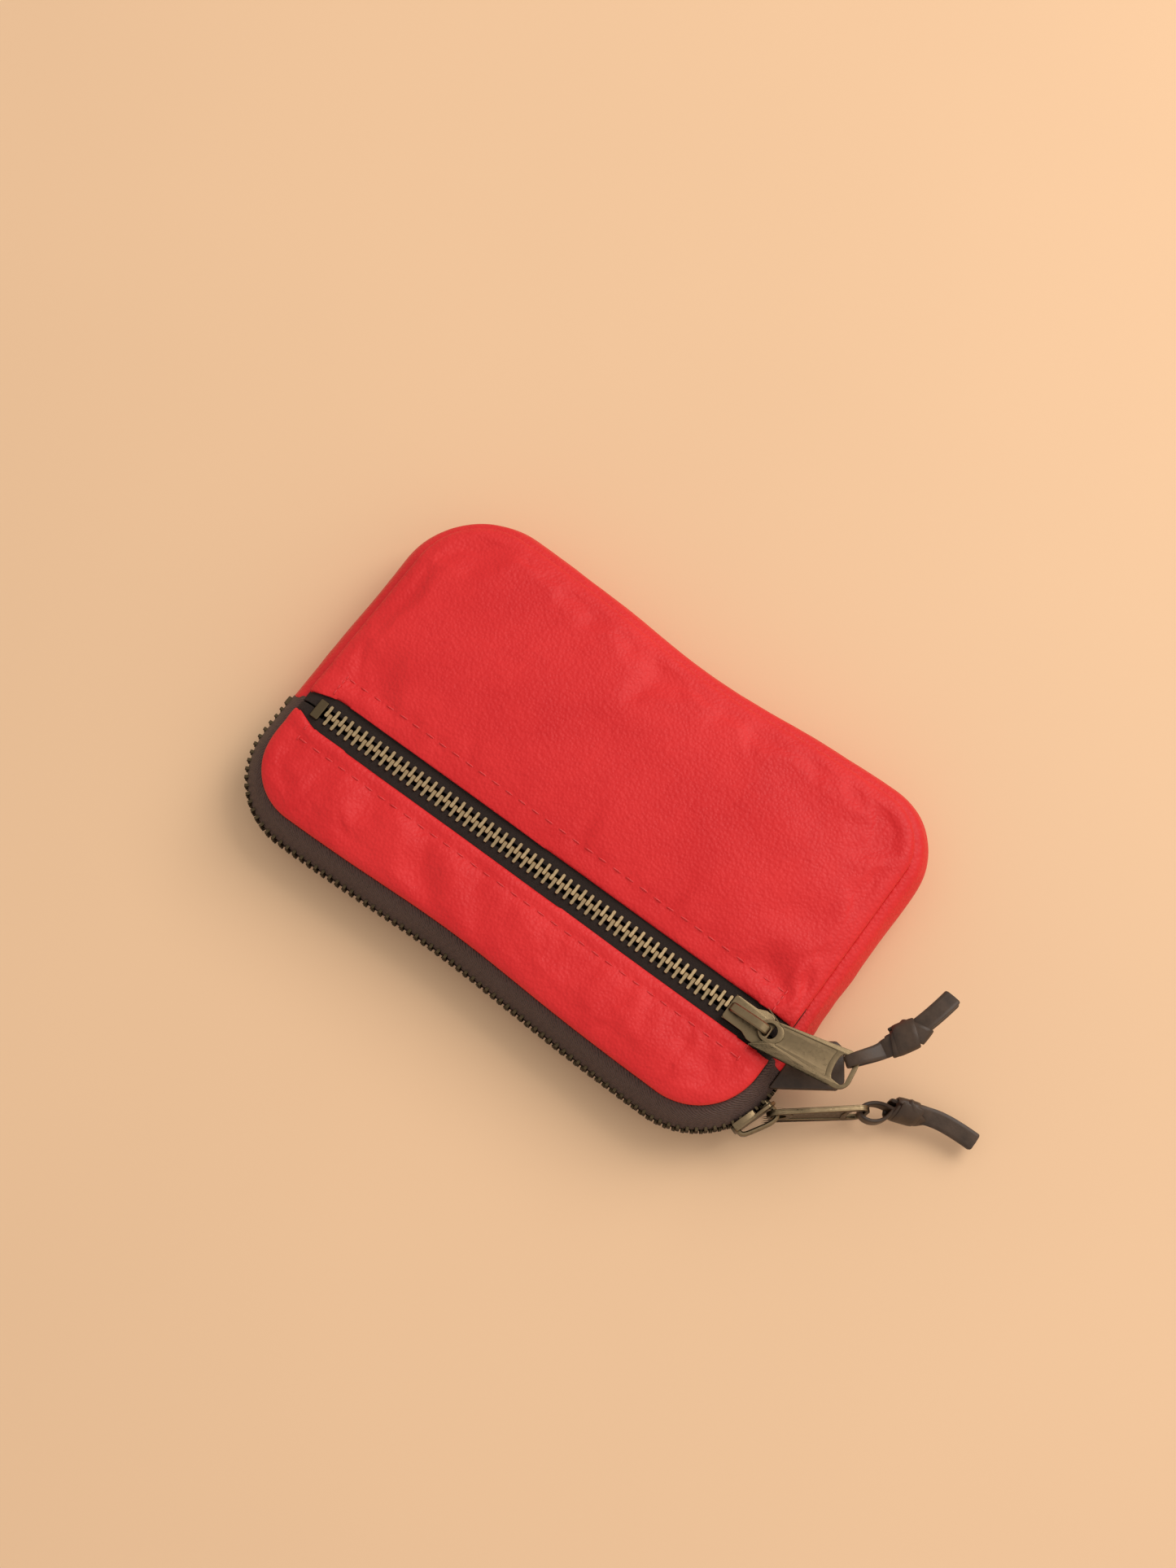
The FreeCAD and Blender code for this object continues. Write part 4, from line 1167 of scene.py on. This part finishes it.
class POUCH_OT_teeth(bpy.types.Operator):
    """Sets the metal teeth and stops of both zippers along their tapes"""

    bl_idname = "pouch.teeth"
    bl_label = "Zipper Teeth"

    def execute(self, context):
        sizes = context.scene.pouch_sizes
        brass = finish_named(context, "teeth")
        # Quarter-bright brass: painted shade on the side teeth and, below, on the stops.
        shade_darkened_brass = finish_named(context, "shaded_side_teeth")
        outline = SeamOutline(sizes)
        line = sum(SLOT_BOX) / 2
        height = (CHAIN_BOX[0].z + CHAIN_BOX[1].z) / 2
        for name, node, side in (
            ("pocket_teeth_upper_row", "pocket_teeth_upper", 1),
            ("pocket_teeth_lower_row", "pocket_teeth_lower", -1),
        ):
            low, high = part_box(node)
            half = 0.55 * MM
            path = [(low.x + half, line, height), (high.x - half + 0.1 * MM, line, height)]
            piece = tooth_piece("tooth", side, False)
            self.keep(name, node, path, piece, sizes, brass)
        middle = (MAIN_CHAIN_BOX[0].z + MAIN_CHAIN_BOX[1].z) / 2
        flat_end = outline.total + outline.on_right(sizes.main_zip_right)
        flat_start = outline.on_left(sizes.main_zip_left)
        for name, node, side, skip in (
            ("main_teeth_front_row", "main_teeth_front", 1, 3.8),
            ("main_teeth_back_row", "main_teeth_back", -1, 5.0),
        ):
            path = []
            distance = flat_end - skip * MM
            while distance > flat_start + 4 * MM:
                foot, outward = outline.foot(distance)
                stand = foot + outward * (sizes.side_bulge - 0.4 * MM)
                path.append((stand.x, stand.y, middle))
                distance -= 0.6 * MM
            piece = tooth_piece("tooth", side, True)
            self.keep(name, node, path, piece, sizes, shade_darkened_brass)
        # The stops get the same brass, darkened as painted shade.
        for node in (
            "pocket_top_stops",
            "pocket_bottom_stop",
            "main_top_stops",
            "main_bottom_stop",
        ):
            dress(frame["nodes"][node], shade_darkened_brass)
        return {"FINISHED"}

    def keep(self, name, node, path, piece, sizes, brass):
        row = row_along(name, path, piece, sizes.tooth_pitch, 0.02, brass)
        remove(piece)
        hand_over(row, "pouch", node)


def stitch_piece(length):
    """One stitch: a short thread that dives into the leather at both ends."""
    whole = bmesh.new()
    rings, around = 7, 6
    loops = []
    for ring in range(rings):
        t = ring / (rings - 1)
        x = (t - 0.5) * length
        z = 0.12 * MM - 0.55 * MM * (2 * t - 1) ** 4
        thick = 0.26 * MM
        loop = []
        for step in range(around):
            angle = 2 * math.pi * step / around
            y = math.cos(angle) * thick
            loop.append(whole.verts.new((x, y, z + math.sin(angle) * thick * 0.8)))
        loops.append(loop)
    for first, second in zip(loops, loops[1:]):
        for step in range(around):
            after = (step + 1) % around
            whole.faces.new((first[step], first[after], second[after], second[step]))
    whole.faces.new(loops[0][::-1])
    whole.faces.new(loops[-1])
    bmesh.ops.recalc_face_normals(whole, faces=whole.faces[:])
    mesh = mesh_of(whole, "stitch")
    thing = new_object("stitch", mesh)
    return thing


def surface_tree(name):
    """The finished surface of a piece, to lay other things on."""
    mesh = settled(bpy.data.objects[name])
    tree = BVHTree.FromPolygons(
        [vertex.co for vertex in mesh.vertices], [tuple(p.vertices) for p in mesh.polygons]
    )
    bpy.data.meshes.remove(mesh)
    return tree


def laid_on(tree, points):
    """Drops points straight down onto a surface."""
    found = []
    for x, y in points:
        hit = tree.ray_cast(Vector((x, y, 0.1)), Vector((0, 0, -1)))[0]
        if hit is None:
            raise RuntimeError("no leather under the stitch at %.4f, %.4f" % (x, y))
        found.append(hit)
    return found


class POUCH_OT_stitches(bpy.types.Operator):
    """Sews the two rows beside the slot and the tacks at their ends"""

    bl_idname = "pouch.stitches"
    bl_label = "Topstitching"

    def execute(self, context):
        sizes = context.scene.pouch_sizes
        thread = finish_named(context, "thread")
        long_stitch = stitch_piece(3.3 * MM)
        short_stitch = stitch_piece(1.9 * MM)
        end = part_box("topstitch_upper")[1].x - 1.6 * MM
        tacks = []
        for name, node, panel, row, edge in (
            (
                "topstitch_upper_row",
                "topstitch_upper",
                "front_leather_upper",
                SLOT_BOX[1] + sizes.upper_stitches,
                SLOT_BOX[1] + 1.2 * MM,
            ),
            (
                "topstitch_lower_row",
                "topstitch_lower",
                "front_leather_lower",
                SLOT_BOX[0] - sizes.lower_stitches,
                SLOT_BOX[0] - 1.2 * MM,
            ),
        ):
            tree = surface_tree(panel)
            flat = [(-end + 2 * end * i / 240, row) for i in range(241)]
            path = laid_on(tree, flat)
            made = row_along(name, path, long_stitch, sizes.stitch_pitch, 0.03, thread)
            hand_over(made, "pouch", node)
            for x in (-end - 1.6 * MM, end + 1.6 * MM):
                flat = [(x, row + (edge - row) * i / 20) for i in range(21)]
                path = laid_on(tree, flat)
                tacks.append(row_along("tack", path, short_stitch, 1.7 * MM, 0.05, thread))
        remove(long_stitch)
        remove(short_stitch)
        made = joined("tack_rows", tacks)
        hand_over(made, "pouch", "tack_stitches")
        return {"FINISHED"}


# ---------------------------------------------------------- metal hardware


def rounded(points, radii, steps=5):
    """A closed outline with each corner rounded to its own radius."""
    found = []
    count = len(points)
    for index in range(count):
        corner = Vector(points[index])
        before = (Vector(points[index - 1]) - corner).normalized()
        after = (Vector(points[(index + 1) % count]) - corner).normalized()
        radius = radii[index] if isinstance(radii, (list, tuple)) else radii
        half = before.angle(after) / 2
        if radius <= 0 or half > math.pi / 2 - 0.02:
            found.append(tuple(corner))
            continue
        reach = radius / math.tan(half)
        centre = corner + (before + after).normalized() * (radius / math.sin(half))
        start = corner + before * reach - centre
        turn = start.angle_signed(corner + after * reach - centre)
        for step in range(steps + 1):
            angle = -turn * step / steps
            spun = Matrix.Rotation(angle, 2) @ start
            found.append(tuple(centre + spun))
    return found


def circle(centre_x, radius, steps=36):
    return [
        (
            centre_x + radius * math.cos(2 * math.pi * i / steps),
            radius * math.sin(2 * math.pi * i / steps),
        )
        for i in range(steps)
    ]


def plate(loops, low, high, bevel):
    """A flat plate with holes, in millimetres: the first loop is its outline
    and the others its holes. Returned as a mesh with bevelled edges."""
    curve = bpy.data.curves.new("plate", "CURVE")
    curve.dimensions = "2D"
    curve.fill_mode = "BOTH"
    for loop in loops:
        spline = curve.splines.new("POLY")
        spline.points.add(len(loop) - 1)
        for made, (x, y) in zip(spline.points, loop):
            made.co = (x * MM, y * MM, 0, 1)
        spline.use_cyclic_u = True
    curve.extrude = ((high - low) / 2 - bevel) * MM
    curve.bevel_depth = bevel * MM
    curve.bevel_resolution = 2
    curve.offset = -bevel * MM
    thing = new_object("plate", curve)
    mesh = settled(thing)
    remove(thing)
    mesh.transform(Matrix.Translation((0, 0, (low + high) / 2 * MM)))
    return mesh


def swept(path, sideways, half_width, half_thick, cut=0.3, pinch=None):
    """A bar of rounded rectangular section along a path, in metres. sideways
    holds the way its width lies at each point, and pinch, if given, the share
    of its width that it has there."""
    whole = bmesh.new()
    bevel = min(half_thick, half_width) * cut
    section = [
        (half_width, half_thick - bevel),
        (half_width - bevel, half_thick),
        (-half_width + bevel, half_thick),
        (-half_width, half_thick - bevel),
        (-half_width, -half_thick + bevel),
        (-half_width + bevel, -half_thick),
        (half_width - bevel, -half_thick),
        (half_width, -half_thick + bevel),
    ]
    loops = []
    count = len(path)
    for index in range(count):
        before = path[max(index - 1, 0)]
        after = path[min(index + 1, count - 1)]
        along = (after - before).normalized()
        side = sideways[index] - along * sideways[index].dot(along)
        side.normalize()
        up = along.cross(side)
        share = pinch[index] if pinch else 1.0
        loops.append(
            [whole.verts.new(path[index] + side * a * share + up * b) for a, b in section]
        )
    for first, second in zip(loops, loops[1:]):
        for step in range(8):
            after = (step + 1) % 8
            face = whole.faces.new((first[step], first[after], second[after], second[step]))
            face.material_index = 1 if step in (3, 7) else 0
    for cap in (loops[0][::-1], loops[-1]):
        whole.faces.new(cap).material_index = 1
    bmesh.ops.recalc_face_normals(whole, faces=whole.faces[:])
    mesh = mesh_of(whole, "bar")
    return mesh


def smoothed(points, rounds=2):
    """An open path with its corners cut, again and again."""
    for _ in range(rounds):
        kept = [points[0]]
        for first, second in zip(points, points[1:]):
            kept.append(first * 0.75 + second * 0.25)
            kept.append(first * 0.25 + second * 0.75)
        kept.append(points[-1])
        points = kept
    return points


def placed_piece(name, meshes, place, *materials, weld=True):
    """One object from several meshes, each moved to its place."""
    whole = bmesh.new()
    for mesh in meshes:
        whole.from_mesh(mesh)
        bpy.data.meshes.remove(mesh)
    if weld:
        bmesh.ops.remove_doubles(whole, verts=whole.verts[:], dist=0.002 * MM)
        bmesh.ops.recalc_face_normals(whole, faces=whole.faces[:])
    bmesh.ops.transform(whole, matrix=place, verts=whole.verts[:])
    if place.determinant() < 0:
        bmesh.ops.reverse_faces(whole, faces=whole.faces[:])
    mesh = mesh_of(whole, name)
    thing = new_object(name, mesh)
    dress(thing, *materials)
    shade_smooth(thing, 40)
    return thing


# Half heights of the sliders' channels, in millimetres. The main slider needs
# room for the chain's curve: its own length over the radius that it runs on.
SLIDER_LENGTH = 13
RUN_RADIUS = 24.5
CURVE_ROOM = SLIDER_LENGTH**2 / 16 / RUN_RADIUS
POCKET_CHANNEL = 1.35
MAIN_CHANNEL = POCKET_CHANNEL + CURVE_ROOM


def frame_of(point, along, across):
    upward = along.cross(across)
    place = Matrix.Identity(4)
    for column, vector in enumerate((along, across, upward)):
        for row in range(3):
            place[row][column] = vector[row]
    place.translation = point
    return place


def pocket_slider_place():
    low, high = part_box("pocket_slider_body")
    height = (CHAIN_BOX[0].z + CHAIN_BOX[1].z) / 2
    point = Vector(((low.x + high.x) / 2, (low.y + high.y) / 2, height))
    return Matrix.Translation(point)


def main_slider_place(sizes):
    """On the arc of the sliders' corner, 18 degrees past its end."""
    outline = SeamOutline(sizes)
    angle = math.radians(-18)
    outward = Vector((math.cos(angle), math.sin(angle), 0))
    reach = sizes.slider_corner + sizes.side_bulge - (0.4 + CURVE_ROOM) * MM
    middle = (sizes.front_seam + sizes.back_seam) / 2
    point = outline.centres[0] + outward * reach + Z_AXIS * middle
    return frame_of(point, Vector((-outward.y, outward.x, 0)), Z_AXIS)


def pull_place(slider, channel, yaw, swing):
    """The pull's own frame: its eye's near rim in the crown, its length on X."""
    eye = Vector((3.505, 0, channel + 1.0 + 1.05)) * MM
    spin = Matrix.Rotation(math.radians(yaw), 4, "Z")
    lift = Matrix.Rotation(math.radians(-swing), 4, "Y")
    return slider @ Matrix.Translation(eye) @ spin @ lift


def slider_meshes(channel, flange_low):
    """Top and bottom plates, the post and the flanges, in the slider's own
    frame: X along the chain toward the nose, Z out from the pouch."""
    half = [(-6.5, 3.7), (0.0, 3.7), (2.3, 4.7), (4.9, 4.7), (6.5, 2.7)]
    outline = half + [(x, -y) for x, y in reversed(half)]
    radii = [0.9, 2.2, 1.4, 1.2, 0.8]
    shape = rounded(outline, radii + radii[::-1])
    meshes = [
        plate([shape], channel, channel + 1.0, 0.22),
        plate([shape], -channel - 1.0, -channel, 0.22),
    ]
    half_post = [(2.9, 0.24), (4.7, 0.8), (5.9, 0.48)]
    post = rounded(half_post + [(x, -y) for x, y in reversed(half_post)], 0.1, 2)
    meshes.append(plate([post], -channel - 0.2, channel + 0.2, 0.05))
    for side in (-1, 1):
        wall = [(-6.4, 3.25), (0.26, 3.25), (0.26, 3.7), (-6.4, 3.7)]
        loop = rounded([(x, y * side) for x, y in wall], 0.12, 2)
        meshes.append(plate([loop], 0.5, channel + 0.3, 0.08))
        meshes.append(plate([loop], -channel - 0.3, -flange_low, 0.08))
    return meshes


def crown_mesh(channel):
    """The bridge over the top plate that holds the pull's eye."""
    base = channel + 0.9
    side_view = [
        (-5.6, 0.0),
        (-5.5, 1.0),
        (-4.6, 1.75),
        (-1.5, 2.45),
        (2.2, 3.25),
        (4.3, 3.25),
        (5.4, 2.5),
        (5.5, 1.2),
        (5.35, 0.0),
    ]
    path = smoothed([Vector((x, 0, base + z)) * MM for x, z in side_view])
    sideways = [Vector((0, 1, 0))] * len(path)
    return swept(path, sideways, 1.3 * MM, 0.6 * MM, 0.6)


def pull_outline(inset):
    """The tapered pull's outline, shrunk by inset: round at the eye, with
    rounded corners at the far end."""
    eye_x, eye_out = 2.6, 3.1 - inset
    far_x, far_y = 27.2 - inset, 5.45 - inset
    lean = math.atan2(far_y - eye_out, far_x - eye_x)
    points = []
    for step in range(25):
        angle = math.pi / 2 + lean + (math.pi - 2 * lean) * step / 24
        points.append((eye_x + eye_out * math.cos(angle), eye_out * math.sin(angle)))
    corner = max(3.6 - inset, 0.8)
    for sign in (-1, 1):
        turn = range(13) if sign < 0 else range(12, -1, -1)
        for step in turn:
            angle = (math.pi / 2) * (1 - step / 12)
            points.append(
                (
                    far_x - corner + corner * math.cos(angle),
                    sign * (far_y - corner + corner * math.sin(angle)),
                )
            )
    return points


def lace_hole():
    """The hole at the far end: rounded outside, bowed toward the eye."""
    half = [(22.1, 3.5), (25.2, 4.1), (25.9, 3.0)]
    points = half + [(x, -y) for x, y in reversed(half)]
    corners = rounded(points, [0.5, 0.8, 1.2, 1.2, 0.8, 0.5], 4)
    bow = []
    for step in range(-5, 6):
        angle = step * math.pi / 12
        bow.append((22.1 - 0.55 * math.cos(angle), 3.0 * math.sin(angle)))
    return corners + bow


def pull_meshes():
    """The pull: a thin plate with a raised rim, a ring round the eye and a
    bar before the lace's hole."""
    eye = circle(2.6, 2.1)
    hole = lace_hole()
    recess = []
    for step in range(13):
        angle = math.radians(62 - 124 * step / 12)
        recess.append((2.6 + 4.0 * math.cos(angle), 4.0 * math.sin(angle)))
    field = [(x, y * 0.78) for x, y in recess]
    field += [(20.6, -3.75), (20.2, -2.0), (20.0, 0.0), (20.2, 2.0), (20.6, 3.75)]
    field = rounded(field, 0.3, 2)
    outer = pull_outline(0.0)
    meshes = [plate([outer, eye, hole], -0.5, 0.5, 0.12)]
    for low, high in ((0.3, 0.75), (-0.75, -0.3)):
        meshes.append(plate([outer, eye, hole, field], low, high, 0.14))
    return meshes


class POUCH_OT_sliders(bpy.types.Operator):
    """Makes both sliders and the crowns that hold their pulls"""

    bl_idname = "pouch.sliders"
    bl_label = "Sliders"

    def execute(self, context):
        sizes = context.scene.pouch_sizes
        metal = finish_named(context, "metal")
        for body, place, channel, flange in (
            ("pocket_slider", pocket_slider_place(), POCKET_CHANNEL, 0.5),
            ("main_slider", main_slider_place(sizes), MAIN_CHANNEL, 1.0),
        ):
            shell = placed_piece(body + "_shell", slider_meshes(channel, flange), place, metal)
            crown = placed_piece(body + "_bridge", [crown_mesh(channel)], place, metal, metal)
            for thing, node in ((shell, "_body"), (crown, "_crown")):
                hand_over(thing, body, body + node)
        return {"FINISHED"}


def both_pull_places(sizes):
    return {
        "pocket": pull_place(pocket_slider_place(), POCKET_CHANNEL, 8, 3),
        "main": pull_place(main_slider_place(sizes), MAIN_CHANNEL, -12, 32),
    }


class POUCH_OT_pulls(bpy.types.Operator):
    """Makes the two tapered metal pulls"""

    bl_idname = "pouch.pulls"
    bl_label = "Pulls"

    def execute(self, context):
        metal = finish_named(context, "metal")
        places = both_pull_places(context.scene.pouch_sizes)
        for key, place in places.items():
            body = key + "_pull"
            thing = placed_piece(body + "_tab", pull_meshes(), place, metal)
            hand_over(thing, body, body)
        return {"FINISHED"}


# ------------------------------------------------------------------- laces


def route_line(points):
    """The smooth line of a route, whose points are its control points."""
    curve = bpy.data.curves.new("route", "CURVE")
    curve.dimensions = "3D"
    spline = curve.splines.new("NURBS")
    spline.points.add(len(points) - 1)
    for made, point in zip(spline.points, points):
        made.co = (*point, 1.0)
    spline.order_u = 3
    spline.use_endpoint_u = True
    spline.resolution_u = 16
    thing = new_object("route", curve)
    mesh = settled(thing)
    line = [vertex.co.copy() for vertex in mesh.vertices]
    bpy.data.meshes.remove(mesh)
    remove(thing)
    return line


def line_length(line):
    return sum((b - a).length for a, b in zip(line, line[1:]))


def doubled_thong(line, loop, side_start, side_end, sizes, splay):
    """One flat thong: from its tip along the line's upper side, round the
    loop through the pull's hole, and back along the under side."""
    gap = sizes.lace_thickness * 0.56
    reached = 0.0
    upper, lower, sides = [], [], []
    total = line_length(line)
    free = loop["free"]
    for index, point in enumerate(line):
        if index:
            reached += (point - line[index - 1]).length
        if reached < free:
            continue
        after = line[min(index + 1, len(line) - 1)]
        before = line[max(index - 1, 0)]
        along = (after - before).normalized()
        share = smooth((reached - free) / (total - free), 0.0, 0.45)
        side = side_start.lerp(side_end, share)
        side = (side - along * side.dot(along)).normalized()
        up = side.cross(along)
        tip = smooth(reached / total, 0.6, 1.0)
        spread = gap + splay * tip
        upper.append(point + up * spread)
        lower.append(point - up * spread)
        sides.append(side)
    loop_points = loop["points"]
    path = eased_path(upper[::-1] + loop_points + lower)
    ways = sides[::-1] + [side_start] * len(loop_points) + sides
    count = len(loop_points)
    squeezed = [
        1 - 0.36 * math.sqrt(math.sin(math.pi * (i + 0.5) / count))
        for i in range(count)
    ]
    pinch = [1.0] * len(upper) + squeezed + [1.0] * len(lower)
    half_width, half_thick = sizes.lace_width / 2, sizes.lace_thickness / 2
    return swept(path, ways, half_width, half_thick, 0.35, pinch)


def eased_path(path, rounds=2):
    """Softens a path's bends, keeping its ends."""
    for _ in range(rounds):
        moved = [path[0]]
        for a, b, c in zip(path, path[1:], path[2:]):
            moved.append(b * 0.5 + (a + c) * 0.25)
        path = moved + [path[-1]]
    return path


def knot_meshes(line, reach, side, sizes, tilt):
    """The overhand knot: a band wound round the doubled thong, crossed by a
    second one at a slant."""
    reached = 0.0
    centre, along = line[0], (line[1] - line[0]).normalized()
    for a, b in zip(line, line[1:]):
        step = (b - a).length
        if reached + step >= reach:
            along = (b - a).normalized()
            centre = a + along * (reach - reached)
            break
        reached += step
    side = (side - along * side.dot(along)).normalized()
    up = side.cross(along)
    meshes = []
    for wide, high, half_band, pitch, slant, shift, start, end in (
        (3.55, 2.2, 3.1, 1.2, tilt, -0.4, -30, 345),
        (3.2, 1.9, 2.3, -2.6, -tilt * 1.8, 1.5, 150, 520),
        (2.9, 1.8, 1.9, 2.0, tilt * 1.2, -3.0, 10, 330),
    ):
        path, ways = [], []
        steps = 44
        lean = math.tan(math.radians(slant))
        for step in range(steps + 1):
            angle = math.radians(start + (end - start) * step / steps)
            flat = math.cos(angle) * wide * MM
            tall = math.sin(angle) * high * MM
            forward = (shift + pitch * (step / steps - 0.5)) * MM + flat * lean
            point = centre + side * flat + up * tall + along * forward
            path.append(point)
            ways.append(along - side * lean * 0.6)
        meshes.append(swept(path, ways, half_band * MM, sizes.lace_thickness / 2, 0.45))
    return meshes


class POUCH_OT_laces(bpy.types.Operator):
    """Ties the two leather laces to their pulls"""

    bl_idname = "pouch.laces"
    bl_label = "Laces"

    def execute(self, context):
        sizes = context.scene.pouch_sizes
        thong = finish_named(context, "thong")
        edge = finish_named(context, "cut_edge")
        places = both_pull_places(sizes)
        corner = math.radians(45)
        for key, seat, angle, steps, loop_shape, free, far_side, knot_at, tilt in (
            (
                "pocket",
                (25.897, 4.147, 0.0),
                corner,
                POCKET_LACE_STEPS,
                [(6.4, 0.8), (3.6, 1.6), (1.2, 2.1), (-1.2, 2.0), (-2.6, 1.2), (-2.9, 0.0)],
                10.4,
                Vector((-0.93, 0.33, -0.25)),
                16.6,
                16,
            ),
            (
                "main",
                (26.6, 0.0, 0.0),
                0.0,
                MAIN_LACE_STEPS,
                [(5.6, 1.9), (3.4, 2.9), (1.0, 2.9), (-1.2, 1.8), (-1.9, 0.0)],
                10.6,
                Vector((-0.2, 0.98, 0.1)),
                13.6,
                20,
            ),
        ):
            place = places[key]
            outward = Vector((math.cos(angle), math.sin(angle), 0))
            seat = Vector(seat)
            turn = place.to_3x3()

            def world(reach, lift):
                local = seat + outward * reach + Vector((0, 0, lift))
                return place @ (local * MM)

            hole = world(-2.4, 0.0)
            root = world(2.4, 0.0)
            line = route_line([hole, root] + [root + Vector(step) for step in steps])
            crossing = turn @ Vector((-outward.y, outward.x, 0))
            under = [(reach, -0.8 * lift) for reach, lift in reversed(loop_shape[:-1])]
            loop_points = smoothed([world(*pair) for pair in loop_shape + under], 1)
            loop = {"points": loop_points, "free": free * MM}
            mesh = doubled_thong(line, loop, crossing, far_side, sizes, 0.25 * MM)
            lace = placed_piece(key + "_lace_thong", [mesh], Matrix.Identity(4), thong, edge)
            round_off = lace.modifiers.new("Round", "SUBSURF")
            round_off.levels = round_off.render_levels = 1
            share = knot_at * MM / line_length(line)
            knot_side = crossing.lerp(far_side, smooth(share, 0.2, 0.7))
            knot = placed_piece(
                key + "_lace_knot_wraps",
                knot_meshes(line, knot_at * MM, knot_side, sizes, tilt),
                Matrix.Identity(4),
                thong,
                edge,
                weld=False,
            )
            round_off = knot.modifiers.new("Round", "SUBSURF")
            round_off.levels = round_off.render_levels = 1
            body = key + "_lace"
            for thing, node in ((lace, "_lace"), (knot, "_lace_knot")):
                hand_over(thing, body, key + node)
        return {"FINISHED"}


# ------------------------------------------------- end tab and inner pieces


class POUCH_OT_end_tab(bpy.types.Operator):
    """Makes the folded leather tab at the closed end of the main zipper"""

    bl_idname = "pouch.end_tab"
    bl_label = "End Tab"

    def execute(self, context):
        source = frame["nodes"]["end_tab"]
        whole = bmesh.new()
        whole.from_mesh(source.data)
        bmesh.ops.remove_doubles(whole, verts=whole.verts[:], dist=0.005 * MM)
        bmesh.ops.dissolve_limit(
            whole,
            angle_limit=math.radians(3),
            verts=whole.verts[:],
            edges=whole.edges[:],
        )
        bmesh.ops.bevel(
            whole,
            geom=[e for e in whole.edges if e.calc_face_angle(0) > 0.6],
            offset=0.55 * MM,
            segments=3,
            affect="EDGES",
            profile=0.5,
        )
        bmesh.ops.triangulate(whole, faces=whole.faces[:])
        mesh = mesh_of(whole, "end_tab_leather")
        thing = new_object("end_tab_leather", mesh)
        shade_smooth(thing, 50)
        dress(thing, finish_named(context, "thong"))
        hand_over(thing, "pouch", "end_tab")
        return {"FINISHED"}


class POUCH_OT_pocket_bag(bpy.types.Operator):
    """Gives the front pocket's bag its cloth"""

    bl_idname = "pouch.pocket_bag"
    bl_label = "Pocket Bag"

    def execute(self, context):
        dress(frame["nodes"]["pocket_bag"], finish_named(context, "lining"))
        return {"FINISHED"}


# ------------------------------------------------------------------- stage


class POUCH_OT_stage(bpy.types.Operator):
    """Sets the backdrop, the soft studio light and the camera"""

    bl_idname = "pouch.stage"
    bl_label = "Stage"

    def execute(self, context):
        scene = context.scene
        scene.view_settings.view_transform = "Standard"
        reach = 3.0
        floor = add_object(
            "backdrop",
            [(-reach, -reach, 0), (reach, -reach, 0), (reach, reach, 0), (-reach, reach, 0)],
            [(0, 1, 2, 3)],
        )
        for vertex in floor.data.vertices:
            vertex.co.z = -0.25 * MM
        dress(floor, finish_named(context, "backdrop"))
        world = bpy.data.worlds.new("studio")
        world.use_nodes = True
        sky = world.node_tree.nodes["Background"]
        sky.inputs["Color"].default_value = (1.0, 0.97, 0.94, 1.0)
        sky.inputs["Strength"].default_value = 0.62
        scene.world = world
        for name, energy, size, at, tint in (
            ("window", 9.5, 0.9, (0.35, 0.85, 0.95), (1.0, 0.97, 0.93)),
            ("fill", 1.6, 1.0, (1.1, 0.0, 0.8), (1.0, 0.93, 0.84)),
        ):
            lamp = bpy.data.lights.new(name, "AREA")
            lamp.energy = energy
            lamp.size = size
            lamp.color = tint
            thing = new_object(name, lamp)
            thing.location = at
            aim = (Vector((0, 0, 0)) - Vector(at)).to_track_quat("-Z", "Y")
            thing.rotation_euler = aim.to_euler()
        lens = bpy.data.cameras.new("camera")
        lens.lens = 50
        lens.sensor_width = 36
        camera = new_object("camera", lens)
        tilt, turn = CAMERA_HEIGHT, CAMERA_TURN
        back = Vector(
            (math.sin(turn) * math.cos(tilt), -math.cos(turn) * math.cos(tilt), math.sin(tilt))
        )
        camera.location = CAMERA_AIM + back * CAMERA_DISTANCE
        camera.rotation_euler = (-back).to_track_quat("-Z", "Y").to_euler()
        lens.clip_start = 0.01
        scene.camera = camera
        return {"FINISHED"}


# ------------------------------------------------------------------- add-on


class POUCH_PT_panel(bpy.types.Panel):
    """Lists the pouch's sizes, colours and pieces"""

    bl_idname = "POUCH_PT_panel"
    bl_label = "Zippered Pouch"
    bl_space_type = "VIEW_3D"
    bl_region_type = "UI"
    bl_category = "Pouch"

    def draw(self, context):
        for group in (
            context.scene.pouch_sizes,
            context.scene.pouch_colours,
            context.scene.pouch_look,
        ):
            box = self.layout.box()
            for name in group.__annotations__:
                box.prop(group, name)
        for operator in OPERATORS:
            self.layout.operator(operator.bl_idname)


OPERATORS = (
    POUCH_OT_stage,
    POUCH_OT_laces,
    POUCH_OT_front_panels,
    POUCH_OT_back_panel,
    POUCH_OT_gusset,
    POUCH_OT_tapes,
    POUCH_OT_teeth,
    POUCH_OT_stitches,
    POUCH_OT_sliders,
    POUCH_OT_pulls,
    POUCH_OT_end_tab,
    POUCH_OT_pocket_bag,
)
CLASSES = (PouchSizes, PouchColours, PouchLook, *OPERATORS, POUCH_PT_panel)


def register():
    for made in CLASSES:
        bpy.utils.register_class(made)
    bpy.types.Scene.pouch_sizes = PointerProperty(type=PouchSizes)
    bpy.types.Scene.pouch_colours = PointerProperty(type=PouchColours)
    bpy.types.Scene.pouch_look = PointerProperty(type=PouchLook)


def unregister():
    del bpy.types.Scene.pouch_sizes
    del bpy.types.Scene.pouch_colours
    del bpy.types.Scene.pouch_look
    for made in reversed(CLASSES):
        bpy.utils.unregister_class(made)


def main():
    register()
    for operator in OPERATORS:
        group, name = operator.bl_idname.split(".")
        getattr(getattr(bpy.ops, group), name)()


if __name__ == "__main__":
    main()
